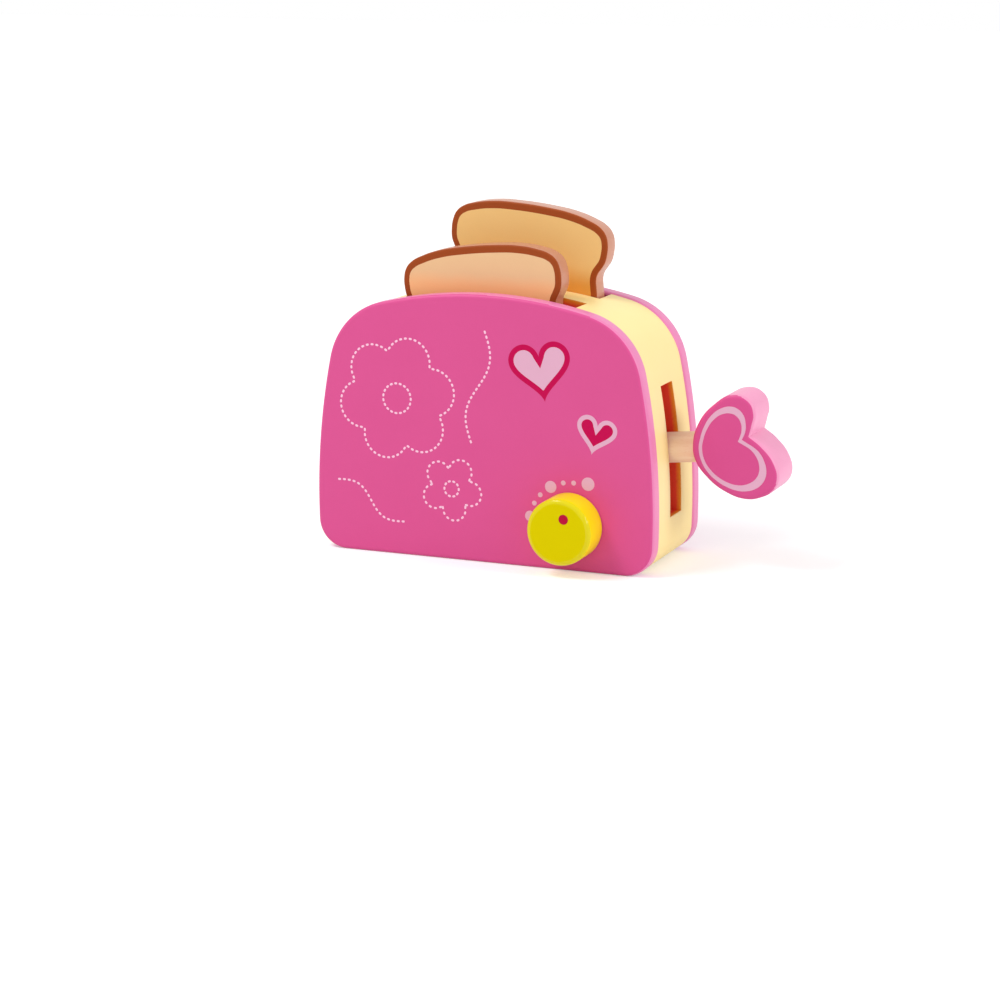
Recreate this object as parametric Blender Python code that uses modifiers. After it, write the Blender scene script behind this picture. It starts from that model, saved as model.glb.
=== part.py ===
"""Wooden toy toaster with two slices of toast, a heart lever and a turning knob.

The body is a stack of boards: two pink outer panels and three yellow core layers.
The slot layers hold the toast pockets. The centre layer holds the lever channel and
the well of the lift block, which a see-saw lever raises when its heart is pressed down.
Metres, +Z up. The origin is the centre of the underside, +X points to the lever.
"""

from math import atan2, cos, pi, radians, sin, sqrt

import bmesh
import bpy
from mathutils import Euler, Matrix, Vector

MM = 0.001

# Clearances
SEAT_GAP = 0.3 * MM
OVERRUN = 5.0 * MM

# Panel outline, made of tangent arcs
PANEL_HALF_WIDTH = 95.0 * MM
PANEL_HEIGHT = 141.2 * MM
PANEL_THICKNESS = 10.0 * MM
PANEL_EDGE_ROUND = 2.0 * MM
WIDEST_HEIGHT = 28.2 * MM
FOOT_RADIUS = 15.8 * MM
SIDE_RADIUS = 365.7 * MM
SHOULDER_RADIUS = 39.8 * MM
CROWN_RADIUS = 239.7 * MM
FOOT_STEPS = 6
SIDE_STEPS = 7
SHOULDER_STEPS = 8
CROWN_STEPS = 7

# Three core layers that fill the depth between the panels
BODY_DEPTH = 74.0 * MM
LAYER_THICKNESS = (BODY_DEPTH - 2 * PANEL_THICKNESS - 4 * SEAT_GAP) / 3
CORE_INSET = 0.7 * MM
LAYER_PITCH = LAYER_THICKNESS + SEAT_GAP
PANEL_Y = LAYER_PITCH + LAYER_THICKNESS / 2 + SEAT_GAP + PANEL_THICKNESS / 2

# Toast slices
TOAST_WIDTH = 89.0 * MM
TOAST_HEIGHT = 88.0 * MM
TOAST_THICKNESS = 12.0 * MM
TOAST_EDGE_ROUND = 1.5 * MM
TOAST_EAR_HEIGHT = 68.0 * MM
TOAST_HALF_OUTLINE_SHARES = (
    (0.115, 0.999), (0.247, 0.985), (0.370, 0.949), (0.455, 0.892), (0.498, 0.808), (0.492, 0.716),
    (0.459, 0.642), (0.439, 0.580), (0.446, 0.510), (0.472, 0.330), (0.478, 0.180), (0.462, 0.060),
    (0.400, 0.006), (0.200, 0.000),
)
FRONT_TOAST_TILT = radians(5.8)
FRONT_TOAST_X = -6.5 * MM
REAR_TOAST_TILT = radians(-6.1)
REAR_TOAST_X = 7.4 * MM
REAR_TOAST_LIFT = 18.9 * MM

# Toast pockets, cut through the two slot layers, with room for a slice that leans to the left
POCKET_LEFT_PLAY = 7.5 * MM
POCKET_RIGHT_PLAY = 3.0 * MM
POCKET_LEFT = TOAST_WIDTH / 2 + POCKET_LEFT_PLAY
POCKET_RIGHT = TOAST_WIDTH / 2 + POCKET_RIGHT_PLAY
POCKET_FLOOR = 42.0 * MM
POCKET_CORNER = 5.0 * MM

# Lever: a see-saw dowel on a steel pin
PIVOT_FROM_SIDE = 39.0 * MM
PIVOT_X = PANEL_HALF_WIDTH - PIVOT_FROM_SIDE
PIVOT_Z = 58.07 * MM
PIN_RADIUS = 2.5 * MM
PIN_DEPTH = 13.0 * MM
LEVER_TILT = radians(5.9)
LEVER_RADIUS = 8.0 * MM
LEVER_TIP_REACH = 9.0 * MM
LEVER_INNER_LENGTH = PIVOT_X + LEVER_TIP_REACH
LEVER_OUTER_LENGTH = 63.0 * MM
LEVER_END_CHAMFER = 1.0 * MM

# Lever channel, open at the right side of the centre layer
CHANNEL_FLOOR = 26.5 * MM
CHANNEL_CEILING = 95.0 * MM
CHANNEL_CORNER = 3.0 * MM
WELL_OVERLAP = 12.0 * MM
WELL_HEADROOM = 3.0 * MM

# Heart handle, outlined in the lever's own frame from its seat on the dowel
HEART_LENGTH = 44.7 * MM
HEART_SPAN = 54.4 * MM
HEART_THICKNESS = 27.0 * MM
HEART_EDGE_ROUND = 2.2 * MM
HEART_START = 51.3 * MM
HEART_BORE_HEIGHT_SHARE = 0.476
HEART_OUTLINE_SHARES = (
    (0.000, 0.517), (0.086, 0.729), (0.283, 0.903), (0.550, 1.000), (0.731, 0.938), (0.785, 0.806),
    (0.751, 0.697), (0.710, 0.603), (0.841, 0.506), (0.975, 0.341), (1.000, 0.180), (0.923, 0.076),
    (0.756, 0.010), (0.584, 0.000), (0.354, 0.072), (0.144, 0.217), (0.017, 0.385),
)
HEART_NOTCH_POINT = 7

# Lift block on the lever's inner end, with the peg that carries the toasts
LIFT_BLOCK_HALF_WIDTH = 10.0 * MM
LIFT_BLOCK_DEPTH = 17.0 * MM
LIFT_BLOCK_HEAD = 10.0 * MM
LIFT_REST_GAP = 1.1 * MM
LIFT_PEG_RADIUS = 5.0 * MM
LIFT_RISE = 29.0 * MM

# Knob on the front panel
KNOB_FROM_SIDE = 45.3 * MM
KNOB_X = PANEL_HALF_WIDTH - KNOB_FROM_SIDE
KNOB_Z = 24.2 * MM
KNOB_RADIUS = 17.5 * MM
KNOB_LENGTH = 18.0 * MM
KNOB_EDGE_ROUND = 2.5 * MM
SPINDLE_RADIUS = 4.0 * MM
SPINDLE_SEAT = 12.0 * MM
WASHER_RADIUS = 9.0 * MM
WASHER_THICKNESS = 1.0 * MM
SCREW_RADIUS = 2.0 * MM
SCREW_LENGTH = 14.0 * MM
SCREW_HEAD_RADIUS = 4.2 * MM
SCREW_HEAD_HEIGHT = 2.5 * MM
RECESS_RADIUS = 12.0 * MM
RECESS_DEPTH = 6.0 * MM

# Locating dowels through the stack of boards
DOWEL_RADIUS = 4.0 * MM
DOWEL_PANEL_DEPTH = 6.0 * MM
DOWEL_PLACE_SHARES = ((-0.737, 0.142), (0.737, 0.092), (-0.758, 0.673), (0.674, 0.793))

# Colours, roughness and metallic value of each finish
FINISHES = {
    "pink_paint": ((0.72, 0.095, 0.296), 0.42, 0.0),
    "yellow_paint": ((0.982, 0.77, 0.35), 0.45, 0.0),
    "knob_paint": ((0.75, 0.58, 0.01), 0.35, 0.0),
    "heart_paint": ((0.70, 0.084, 0.27), 0.42, 0.0),
    "beech": ((0.76, 0.47, 0.29), 0.6, 0.0),
    "toast_paint": ((0.80, 0.47, 0.25), 0.6, 0.0),
    "steel": ((0.55, 0.55, 0.56), 0.35, 1.0),
}

ROUND_STEPS = 32
SMALL_ROUND_STEPS = 16
CURVE_STEPS = 4
CORNER_STEPS = 4
WELD_DISTANCE = 0.001 * MM
SHARP_ANGLE = radians(35)
FACING_FRONT = Euler((pi / 2, 0, 0))


def clear_scene():
    """Remove what the scene holds and return the collections for parts and cutters."""
    for item in list(bpy.data.objects):
        bpy.data.objects.remove(item, do_unlink=True)
    parts = bpy.data.collections.new("toy_toaster")
    cutters = bpy.data.collections.new("cutters")
    bpy.context.scene.collection.children.link(parts)
    bpy.context.scene.collection.children.link(cutters)
    return parts, cutters


PARTS, CUTTERS = clear_scene()


def make_finish(name):
    """Return the Principled material of a finish, made once."""
    found = bpy.data.materials.get(name)
    if found:
        return found
    colour, roughness, metallic = FINISHES[name]
    made = bpy.data.materials.new(name)
    made.use_nodes = True
    shader = made.node_tree.nodes["Principled BSDF"]
    shader.inputs["Base Color"].default_value = (*colour, 1)
    shader.inputs["Roughness"].default_value = roughness
    shader.inputs["Metallic"].default_value = metallic
    made.diffuse_color = (*colour, 1)
    return made


def add_piece(name, mesh, finish, parent=None):
    """Put a mesh into the parts collection as one named piece, shaded smooth."""
    piece = bpy.data.objects.new(name, mesh)
    PARTS.objects.link(piece)
    piece.parent = parent
    mesh.materials.clear()
    mesh.materials.append(make_finish(finish))
    mesh.shade_smooth()
    mesh.set_sharp_from_angle(angle=SHARP_ANGLE)
    return piece


def add_cutter(name, mesh):
    """Put a mesh into the cutters collection, hidden from the finished model."""
    cutter = bpy.data.objects.new(name, mesh)
    CUTTERS.objects.link(cutter)
    cutter.hide_render = True
    cutter.display_type = "WIRE"
    return cutter


def cut(piece, cutter):
    """Take a cutter's shape out of a piece."""
    step = piece.modifiers.new(cutter.name, "BOOLEAN")
    step.operation = "DIFFERENCE"
    step.solver = "EXACT"
    step.object = cutter


def round_edges(piece, width, segments=2):
    """Round the sharp edges of a piece."""
    bevel = piece.modifiers.new("edge_round", "BEVEL")
    bevel.width = width
    bevel.segments = segments
    bevel.limit_method = "ANGLE"
    bevel.angle_limit = radians(50)


def add_pivot(name, location, tilt=0.0):
    """Add an empty on a joint's axis, turned about Y by the tilt of what it carries."""
    pivot = bpy.data.objects.new(name, None)
    PARTS.objects.link(pivot)
    pivot.location = location
    pivot.rotation_euler = (0, tilt, 0)
    return pivot


def router_mesh(name, low, high, corner):
    """Return a box mesh between two corners, its edges along Y rounded as a router leaves them."""
    mesh = bpy.data.meshes.new(name)
    build = bmesh.new()
    bmesh.ops.create_cube(build, size=1)
    size = Vector(high) - Vector(low)
    middle = (Vector(high) + Vector(low)) / 2
    bmesh.ops.transform(build, matrix=Matrix.Translation(middle) @ Matrix.Diagonal((*size, 1)), verts=build.verts)
    along_y = [edge for edge in build.edges if edge.verts[0].co.x == edge.verts[1].co.x
               and edge.verts[0].co.z == edge.verts[1].co.z]
    bmesh.ops.bevel(build, geom=along_y, offset=corner, offset_type="OFFSET", segments=CORNER_STEPS,
                    profile=0.5, affect="EDGES")
    build.to_mesh(mesh)
    build.free()
    return mesh


def rod_mesh(name, radius, start, end, steps=ROUND_STEPS):
    """Return a cylinder mesh that runs from one point to another."""
    start, end = Vector(start), Vector(end)
    along = end - start
    turn = along.to_track_quat("Z", "Y").to_matrix().to_4x4()
    mesh = bpy.data.meshes.new(name)
    build = bmesh.new()
    bmesh.ops.create_cone(build, cap_ends=True, segments=steps, radius1=radius, radius2=radius, depth=along.length)
    bmesh.ops.transform(build, matrix=Matrix.Translation((start + end) / 2) @ turn, verts=build.verts)
    build.to_mesh(mesh)
    build.free()
    return mesh


def arc_points(centre, radius, start, end, steps):
    """Return points along an arc, without its last one."""
    return [
        (centre[0] + radius * cos(start + (end - start) * i / steps),
         centre[1] + radius * sin(start + (end - start) * i / steps))
        for i in range(steps)
    ]


def housing_outline(inset=0.0):
    """Return the board outline, right half then left, with the underside kept at zero."""
    foot, side = FOOT_RADIUS - inset, SIDE_RADIUS - inset
    shoulder, crown = SHOULDER_RADIUS - inset, CROWN_RADIUS - inset
    side_centre = (PANEL_HALF_WIDTH - SIDE_RADIUS, WIDEST_HEIGHT)
    crown_centre = (0.0, PANEL_HEIGHT - CROWN_RADIUS)
    foot_x = side_centre[0] + sqrt((side - foot) ** 2 - (WIDEST_HEIGHT - foot) ** 2)
    foot_centre = (foot_x, foot)
    shoulder_centre = arcs_meet(side_centre, side - shoulder, crown_centre, crown - shoulder)
    foot_end = atan2(foot_centre[1] - side_centre[1], foot_centre[0] - side_centre[0])
    side_end = atan2(shoulder_centre[1] - side_centre[1], shoulder_centre[0] - side_centre[0])
    shoulder_end = atan2(shoulder_centre[1] - crown_centre[1], shoulder_centre[0] - crown_centre[0])
    right = arc_points(foot_centre, foot, -pi / 2, foot_end, FOOT_STEPS)
    right += arc_points(side_centre, side, foot_end, side_end, SIDE_STEPS)
    right += arc_points(shoulder_centre, shoulder, side_end, shoulder_end, SHOULDER_STEPS)
    right += arc_points(crown_centre, crown, shoulder_end, pi / 2, CROWN_STEPS)
    top = [(0.0, crown_centre[1] + crown)]
    return right + top + [(-x, z) for x, z in reversed(right)]


def arcs_meet(first, first_radius, second, second_radius):
    """Return the crossing of two circles that lies further to the right."""
    across = Vector(second) - Vector(first)
    gap = across.length
    along = (first_radius ** 2 - second_radius ** 2 + gap ** 2) / (2 * gap)
    aside = sqrt(first_radius ** 2 - along ** 2)
    foot = Vector(first) + across * along / gap
    normal = Vector((-across.y, across.x)) / gap
    return max((foot + normal * aside, foot - normal * aside), key=lambda point: point.x)


def flat_curve(name, points, thickness, smooth=False, corners=()):
    """Return a curve object of a closed flat outline, as thick as asked, facing the front."""
    data = bpy.data.curves.new(name, "CURVE")
    data.dimensions = "2D"
    data.fill_mode = "BOTH"
    data.extrude = thickness / 2
    data.render_resolution_u = 0
    data.resolution_u = CURVE_STEPS
    spline = data.splines.new("BEZIER" if smooth else "POLY")
    holder = spline.bezier_points if smooth else spline.points
    holder.add(len(points) - 1)
    for index, (x, z) in enumerate(points):
        if not smooth:
            holder[index].co = (x, z, 0, 1)
            continue
        holder[index].co = (x, z, 0)
        kind = "VECTOR" if index in corners else "AUTO"
        holder[index].handle_left_type = kind
        holder[index].handle_right_type = kind
    spline.use_cyclic_u = True
    curve = bpy.data.objects.new(name, data)
    CUTTERS.objects.link(curve)
    curve.rotation_euler = FACING_FRONT
    return curve


def mesh_of_curve(curve):
    """Return a curve object's closed mesh, turned as the curve was, and remove the curve."""
    bpy.context.view_layer.update()
    evaluated = curve.evaluated_get(bpy.context.evaluated_depsgraph_get())
    mesh = bpy.data.meshes.new_from_object(evaluated)
    mesh.transform(curve.matrix_world)
    build = bmesh.new()
    build.from_mesh(mesh)
    bmesh.ops.remove_doubles(build, verts=build.verts, dist=WELD_DISTANCE)
    bmesh.ops.recalc_face_normals(build, faces=build.faces)
    build.to_mesh(mesh)
    build.free()
    bpy.data.objects.remove(curve, do_unlink=True)
    return mesh


def turned_mesh(name, profile, start):
    """Return a round piece, turned from (radius, length) points, that points to the front."""
    mesh = bpy.data.meshes.new(name)
    build = bmesh.new()
    corners = [build.verts.new((radius, 0, length)) for radius, length in profile]
    for first, second in zip(corners, corners[1:]):
        build.edges.new((first, second))
    build.to_mesh(mesh)
    build.free()
    blank = bpy.data.objects.new(name, mesh)
    CUTTERS.objects.link(blank)
    screw = blank.modifiers.new("turn", "SCREW")
    screw.steps = ROUND_STEPS
    screw.render_steps = ROUND_STEPS
    screw.use_merge_vertices = True
    screw.merge_threshold = WELD_DISTANCE
    bpy.context.view_layer.update()
    evaluated = blank.evaluated_get(bpy.context.evaluated_depsgraph_get())
    turned = bpy.data.meshes.new_from_object(evaluated)
    bpy.data.objects.remove(blank, do_unlink=True)
    turned.transform(Matrix.Translation(start) @ FACING_FRONT.to_matrix().to_4x4())
    return turned


def make_board(name, inset, thickness, middle_y, finish):
    """Make one board of the housing stack."""
    curve = flat_curve(name, housing_outline(inset), thickness)
    board = add_piece(name, mesh_of_curve(curve), finish)
    board.location = (0, middle_y, 0)
    return board


def bore(board, name, radius, place, low_y, high_y, steps=SMALL_ROUND_STEPS):
    """Drill a hole along Y into a board."""
    x, z = place
    drill = rod_mesh(name, radius, (x, low_y, z), (x, high_y, z), steps)
    cut(board, add_cutter(name, drill))


def make_housing():
    """Make the two panels and the three core layers, with their cuts."""
    boards = {
        "front_panel": make_board("front_panel", 0.0, PANEL_THICKNESS, -PANEL_Y, "pink_paint"),
        "front_slot_layer": make_board("front_slot_layer", CORE_INSET, LAYER_THICKNESS, -LAYER_PITCH, "yellow_paint"),
        "centre_layer": make_board("centre_layer", CORE_INSET, LAYER_THICKNESS, 0.0, "yellow_paint"),
        "rear_slot_layer": make_board("rear_slot_layer", CORE_INSET, LAYER_THICKNESS, LAYER_PITCH, "yellow_paint"),
        "rear_panel": make_board("rear_panel", 0.0, PANEL_THICKNESS, PANEL_Y, "pink_paint"),
    }
    for name in ("front_panel", "rear_panel"):
        round_edges(boards[name], PANEL_EDGE_ROUND)
    cut_pocket(boards["front_slot_layer"], -LAYER_PITCH)
    cut_pocket(boards["rear_slot_layer"], LAYER_PITCH)
    cut_lever_channel(boards["centre_layer"])
    cut_pivot_holes(boards)
    cut_knob_seat(boards)
    fit_locating_dowels(boards)


def cut_pocket(board, middle_y):
    """Cut a toast pocket through a slot layer, open at the top."""
    reach_y = LAYER_THICKNESS / 2 + OVERRUN
    low = (-POCKET_LEFT, middle_y - reach_y, POCKET_FLOOR)
    high = (POCKET_RIGHT, middle_y + reach_y, PANEL_HEIGHT + OVERRUN)
    pocket = router_mesh(board.name + "_pocket", low, high, POCKET_CORNER)
    cut(board, add_cutter(board.name + "_pocket", pocket))


def lift_peg_height():
    """Return the height of the lift peg, whose block rests its round nose above the lever."""
    lever_top = PIVOT_Z - PIVOT_X * sin(LEVER_TILT) / cos(LEVER_TILT)
    return lever_top + (LEVER_RADIUS + LIFT_BLOCK_HALF_WIDTH) / cos(LEVER_TILT) + LIFT_REST_GAP


def cut_lever_channel(board):
    """Cut the lever's channel from the right side, and the lift block's well above it."""
    reach_y = LAYER_THICKNESS / 2 + OVERRUN
    wall_x = LIFT_BLOCK_HALF_WIDTH + SEAT_GAP
    low = (-wall_x, -reach_y, CHANNEL_FLOOR)
    high = (PANEL_HALF_WIDTH + OVERRUN, reach_y, CHANNEL_CEILING)
    cut(board, add_cutter("lever_channel", router_mesh("lever_channel", low, high, CHANNEL_CORNER)))
    well_top = lift_peg_height() + LIFT_BLOCK_HEAD + LIFT_RISE + WELL_HEADROOM
    low = (-wall_x, -reach_y, CHANNEL_CEILING - WELL_OVERLAP)
    high = (wall_x, reach_y, well_top)
    cut(board, add_cutter("lift_well", router_mesh("lift_well", low, high, CHANNEL_CORNER)))


def cut_pivot_holes(boards):
    """Drill the pivot pin's seats into both slot layers and add the pin."""
    inner_face = LAYER_THICKNESS / 2 + SEAT_GAP
    pin_end = inner_face + PIN_DEPTH
    place = (PIVOT_X, PIVOT_Z)
    hole_radius = PIN_RADIUS + SEAT_GAP
    bore(boards["front_slot_layer"], "front_pin_hole", hole_radius, place, -pin_end - SEAT_GAP, 0)
    bore(boards["rear_slot_layer"], "rear_pin_hole", hole_radius, place, 0, pin_end + SEAT_GAP)
    pin = rod_mesh("pivot_pin", PIN_RADIUS, (0, -pin_end, 0), (0, pin_end, 0), SMALL_ROUND_STEPS)
    add_piece("pivot_pin", pin, "steel").location = (PIVOT_X, 0, PIVOT_Z)


def cut_knob_seat(boards):
    """Drill the spindle hole through the front panel and the recess behind it."""
    place = (KNOB_X, KNOB_Z)
    panel_low = -PANEL_Y - PANEL_THICKNESS / 2 - OVERRUN
    panel_high = -PANEL_Y + PANEL_THICKNESS / 2 + OVERRUN
    bore(boards["front_panel"], "spindle_hole", SPINDLE_RADIUS + SEAT_GAP, place, panel_low, panel_high, ROUND_STEPS)
    layer_face = -LAYER_PITCH - LAYER_THICKNESS / 2
    bore(boards["front_slot_layer"], "knob_recess", RECESS_RADIUS, place, layer_face - OVERRUN,
         layer_face + RECESS_DEPTH, ROUND_STEPS)


def fit_locating_dowels(boards):
    """Add the dowels that align the stack, and drill their holes in all five boards."""
    dowel_end = PANEL_Y - PANEL_THICKNESS / 2 + DOWEL_PANEL_DEPTH
    for index, (share_x, share_z) in enumerate(DOWEL_PLACE_SHARES, start=1):
        name = f"locating_dowel_{index}"
        place = (share_x * PANEL_HALF_WIDTH, share_z * PANEL_HEIGHT)
        dowel = rod_mesh(name, DOWEL_RADIUS, (0, -dowel_end, 0), (0, dowel_end, 0), SMALL_ROUND_STEPS)
        add_piece(name, dowel, "beech").location = (place[0], 0, place[1])
        drill = rod_mesh(name + "_hole", DOWEL_RADIUS + SEAT_GAP, (place[0], -dowel_end - SEAT_GAP, place[1]),
                         (place[0], dowel_end + SEAT_GAP, place[1]), SMALL_ROUND_STEPS)
        cutter = add_cutter(name + "_hole", drill)
        for board in boards.values():
            cut(board, cutter)


def make_lever():
    """Make the see-saw dowel and its heart handle, on an empty at the pivot."""
    pivot = add_pivot("lever_pivot", (PIVOT_X, 0, PIVOT_Z), -LEVER_TILT)
    dowel_mesh = rod_mesh("lever_dowel", LEVER_RADIUS, (-LEVER_INNER_LENGTH, 0, 0), (LEVER_OUTER_LENGTH, 0, 0))
    dowel = add_piece("lever_dowel", dowel_mesh, "beech", pivot)
    round_edges(dowel, LEVER_END_CHAMFER, 1)
    half_hole = LEVER_RADIUS + OVERRUN
    hole = rod_mesh("lever_pin_hole", PIN_RADIUS + SEAT_GAP, (0, -half_hole, 0), (0, half_hole, 0), SMALL_ROUND_STEPS)
    hole_cutter = add_cutter("lever_pin_hole", hole)
    hole_cutter.parent = pivot
    cut(dowel, hole_cutter)
    make_heart(pivot)


def make_heart(pivot):
    """Make the heart handle, bored for the lever's outer end."""
    points = [
        (share_x * HEART_LENGTH, (share_z - HEART_BORE_HEIGHT_SHARE) * HEART_SPAN)
        for share_x, share_z in HEART_OUTLINE_SHARES
    ]
    curve = flat_curve("heart_handle", points, HEART_THICKNESS, smooth=True, corners=(HEART_NOTCH_POINT,))
    heart = add_piece("heart_handle", mesh_of_curve(curve), "heart_paint", pivot)
    heart.location = (HEART_START, 0, 0)
    round_edges(heart, HEART_EDGE_ROUND)
    seat = rod_mesh("heart_bore", LEVER_RADIUS + SEAT_GAP, (HEART_START - OVERRUN, 0, 0),
                    (LEVER_OUTER_LENGTH + SEAT_GAP, 0, 0))
    seat_cutter = add_cutter("heart_bore", seat)
    seat_cutter.parent = pivot
    cut(heart, seat_cutter)


def make_lift():
    """Make the lift block with its round nose, and the peg that carries the toasts."""
    slide = add_pivot("lift_slide", (0, 0, lift_peg_height()))
    half = LIFT_BLOCK_HALF_WIDTH
    nose = arc_points((0, 0), half, -pi, 0, SMALL_ROUND_STEPS) + [(half, 0)]
    outline = nose + [(half, LIFT_BLOCK_HEAD), (-half, LIFT_BLOCK_HEAD)]
    curve = flat_curve("lift_block", outline, LIFT_BLOCK_DEPTH)
    block = add_piece("lift_block", mesh_of_curve(curve), "beech", slide)
    half_peg = PANEL_Y - PANEL_THICKNESS / 2 - SEAT_GAP
    peg = rod_mesh("lift_peg", LIFT_PEG_RADIUS, (0, -half_peg, 0), (0, half_peg, 0), SMALL_ROUND_STEPS)
    add_piece("lift_peg", peg, "beech", slide)
    hole = rod_mesh("peg_hole", LIFT_PEG_RADIUS + SEAT_GAP, (0, -half_peg, 0), (0, half_peg, 0), SMALL_ROUND_STEPS)
    hole_cutter = add_cutter("peg_hole", hole)
    hole_cutter.parent = slide
    cut(block, hole_cutter)


def toast_outline():
    """Return the bread outline about the middle of its ears, right half then left."""
    right = [(x * TOAST_WIDTH, z * TOAST_HEIGHT - TOAST_EAR_HEIGHT) for x, z in TOAST_HALF_OUTLINE_SHARES]
    return right + [(-x, z) for x, z in reversed(right)]


def make_toast(name, middle_y, ear_x, tilt, lift):
    """Make a slice that stands tilted above the lift peg, raised by its own lift."""
    curve = flat_curve(name, toast_outline(), TOAST_THICKNESS, smooth=True)
    toast = add_piece(name, mesh_of_curve(curve), "toast_paint")
    seat = lift_peg_height() + (LIFT_PEG_RADIUS + SEAT_GAP) / cos(tilt)
    toast.location = (ear_x, middle_y, seat + TOAST_EAR_HEIGHT / cos(tilt) + ear_x * sin(tilt) / cos(tilt) + lift)
    toast.rotation_euler = (0, -tilt, 0)
    round_edges(toast, TOAST_EDGE_ROUND)


def make_toasts():
    """Make both slices, each leaning on the centre layer."""
    lean_y = LAYER_THICKNESS / 2 + SEAT_GAP + TOAST_THICKNESS / 2
    make_toast("toast_front", -lean_y, FRONT_TOAST_X, FRONT_TOAST_TILT, 0.0)
    make_toast("toast_rear", lean_y, REAR_TOAST_X, REAR_TOAST_TILT, REAR_TOAST_LIFT)


def make_knob():
    """Make the knob, its spindle, and the washer and screw that hold it behind the panel."""
    back_y = -PANEL_Y - PANEL_THICKNESS / 2 - SEAT_GAP
    axis = add_pivot("knob_axis", (KNOB_X, back_y, KNOB_Z))
    rim = arc_points((KNOB_RADIUS - KNOB_EDGE_ROUND, KNOB_LENGTH - KNOB_EDGE_ROUND), KNOB_EDGE_ROUND, pi / 2, 0, 4)
    profile = [(0, KNOB_LENGTH)] + rim + [(KNOB_RADIUS, KNOB_LENGTH - KNOB_EDGE_ROUND), (KNOB_RADIUS, 0), (0, 0)]
    knob = add_piece("knob", turned_mesh("knob", profile, (0, 0, 0)), "knob_paint", axis)
    seat = rod_mesh("knob_bore", SPINDLE_RADIUS + SEAT_GAP, (0, OVERRUN, 0), (0, -SPINDLE_SEAT - SEAT_GAP, 0))
    seat_cutter = add_cutter("knob_bore", seat)
    seat_cutter.parent = axis
    cut(knob, seat_cutter)

    spindle_end = SEAT_GAP + PANEL_THICKNESS
    spindle_mesh = rod_mesh("knob_spindle", SPINDLE_RADIUS, (0, -SPINDLE_SEAT, 0), (0, spindle_end, 0))
    spindle = add_piece("knob_spindle", spindle_mesh, "beech", axis)
    washer_low = spindle_end + SEAT_GAP
    washer_high = washer_low + WASHER_THICKNESS
    washer_mesh = rod_mesh("knob_washer", WASHER_RADIUS, (0, washer_low, 0), (0, washer_high, 0))
    washer = add_piece("knob_washer", washer_mesh, "steel", axis)
    head_low = washer_high + SEAT_GAP
    screw_hole = rod_mesh("screw_hole", SCREW_RADIUS + SEAT_GAP, (0, head_low - SCREW_LENGTH - SEAT_GAP, 0),
                          (0, head_low, 0), SMALL_ROUND_STEPS)
    hole_cutter = add_cutter("screw_hole", screw_hole)
    hole_cutter.parent = axis
    cut(spindle, hole_cutter)
    cut(washer, hole_cutter)
    screw_profile = [(0, SCREW_LENGTH), (SCREW_RADIUS, SCREW_LENGTH), (SCREW_RADIUS, 0), (SCREW_HEAD_RADIUS, 0)]
    dome = arc_points((0, 0), 1.0, 0, -pi / 2, 4)
    screw_profile += [(SCREW_HEAD_RADIUS * x, SCREW_HEAD_HEIGHT * z) for x, z in dome[1:]]
    screw_profile += [(0, -SCREW_HEAD_HEIGHT)]
    add_piece("knob_screw", turned_mesh("knob_screw", screw_profile, (0, head_low, 0)), "steel", axis)


make_housing()
make_lever()
make_lift()
make_toasts()
make_knob()
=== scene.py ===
"""Looks of a wooden toy toaster: painted boards, flush prints, toast slices, a knob and a heart lever.

Metres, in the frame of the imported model: +X points to the lever, +Y to the back, +Z up, and the
origin is the centre of the underside. Boards, slices and heart are lofts of fine rings, turned
pieces come from profiles, and the dashes and dots of the front print come from Geometry Nodes.
"""

from __future__ import annotations

import logging
from dataclasses import dataclass, field
from enum import Enum
from math import atan2, cos, hypot, pi, radians, sin, sqrt
from typing import Any, Callable, Sequence

import bmesh
import bpy
from mathutils import Matrix, Vector

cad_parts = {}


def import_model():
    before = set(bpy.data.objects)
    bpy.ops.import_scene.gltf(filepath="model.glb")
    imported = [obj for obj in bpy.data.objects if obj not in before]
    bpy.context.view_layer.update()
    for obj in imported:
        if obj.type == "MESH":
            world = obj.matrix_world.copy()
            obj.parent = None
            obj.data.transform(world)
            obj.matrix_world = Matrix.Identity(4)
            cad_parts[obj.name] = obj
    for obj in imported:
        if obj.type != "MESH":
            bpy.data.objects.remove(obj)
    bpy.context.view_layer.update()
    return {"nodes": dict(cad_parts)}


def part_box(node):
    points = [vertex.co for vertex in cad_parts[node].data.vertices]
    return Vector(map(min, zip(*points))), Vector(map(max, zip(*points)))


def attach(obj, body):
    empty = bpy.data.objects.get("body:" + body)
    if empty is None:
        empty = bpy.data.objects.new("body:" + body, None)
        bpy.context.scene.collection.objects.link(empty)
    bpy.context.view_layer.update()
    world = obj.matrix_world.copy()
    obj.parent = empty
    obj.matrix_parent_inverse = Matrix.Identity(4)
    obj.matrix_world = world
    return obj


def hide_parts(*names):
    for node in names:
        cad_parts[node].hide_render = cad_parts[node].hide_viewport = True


LOG = logging.getLogger("toy_toaster")

MM = 0.001
WELD = 0.0005 * MM
FACING_FRONT = Matrix.Rotation(pi / 2, 4, "X")

Point = tuple[float, float]
Colour = tuple[float, float, float]


def srgb(red: float, green: float, blue: float) -> Colour:
    """Return the linear colour of a colour given as it shows on a screen, 0 to 255."""
    def linear(value: float) -> float:
        """Return one channel without its display curve."""
        value /= 255
        return value / 12.92 if value <= 0.04045 else ((value + 0.055) / 1.055) ** 2.4

    return linear(red), linear(green), linear(blue)


class Body(Enum):
    """The moving bodies of the toy."""

    HOUSING = "housing"
    LEVER = "lever"
    LIFT = "lift"
    FRONT_SLICE = "front_slice"
    REAR_SLICE = "rear_slice"
    DIAL = "dial"


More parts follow.
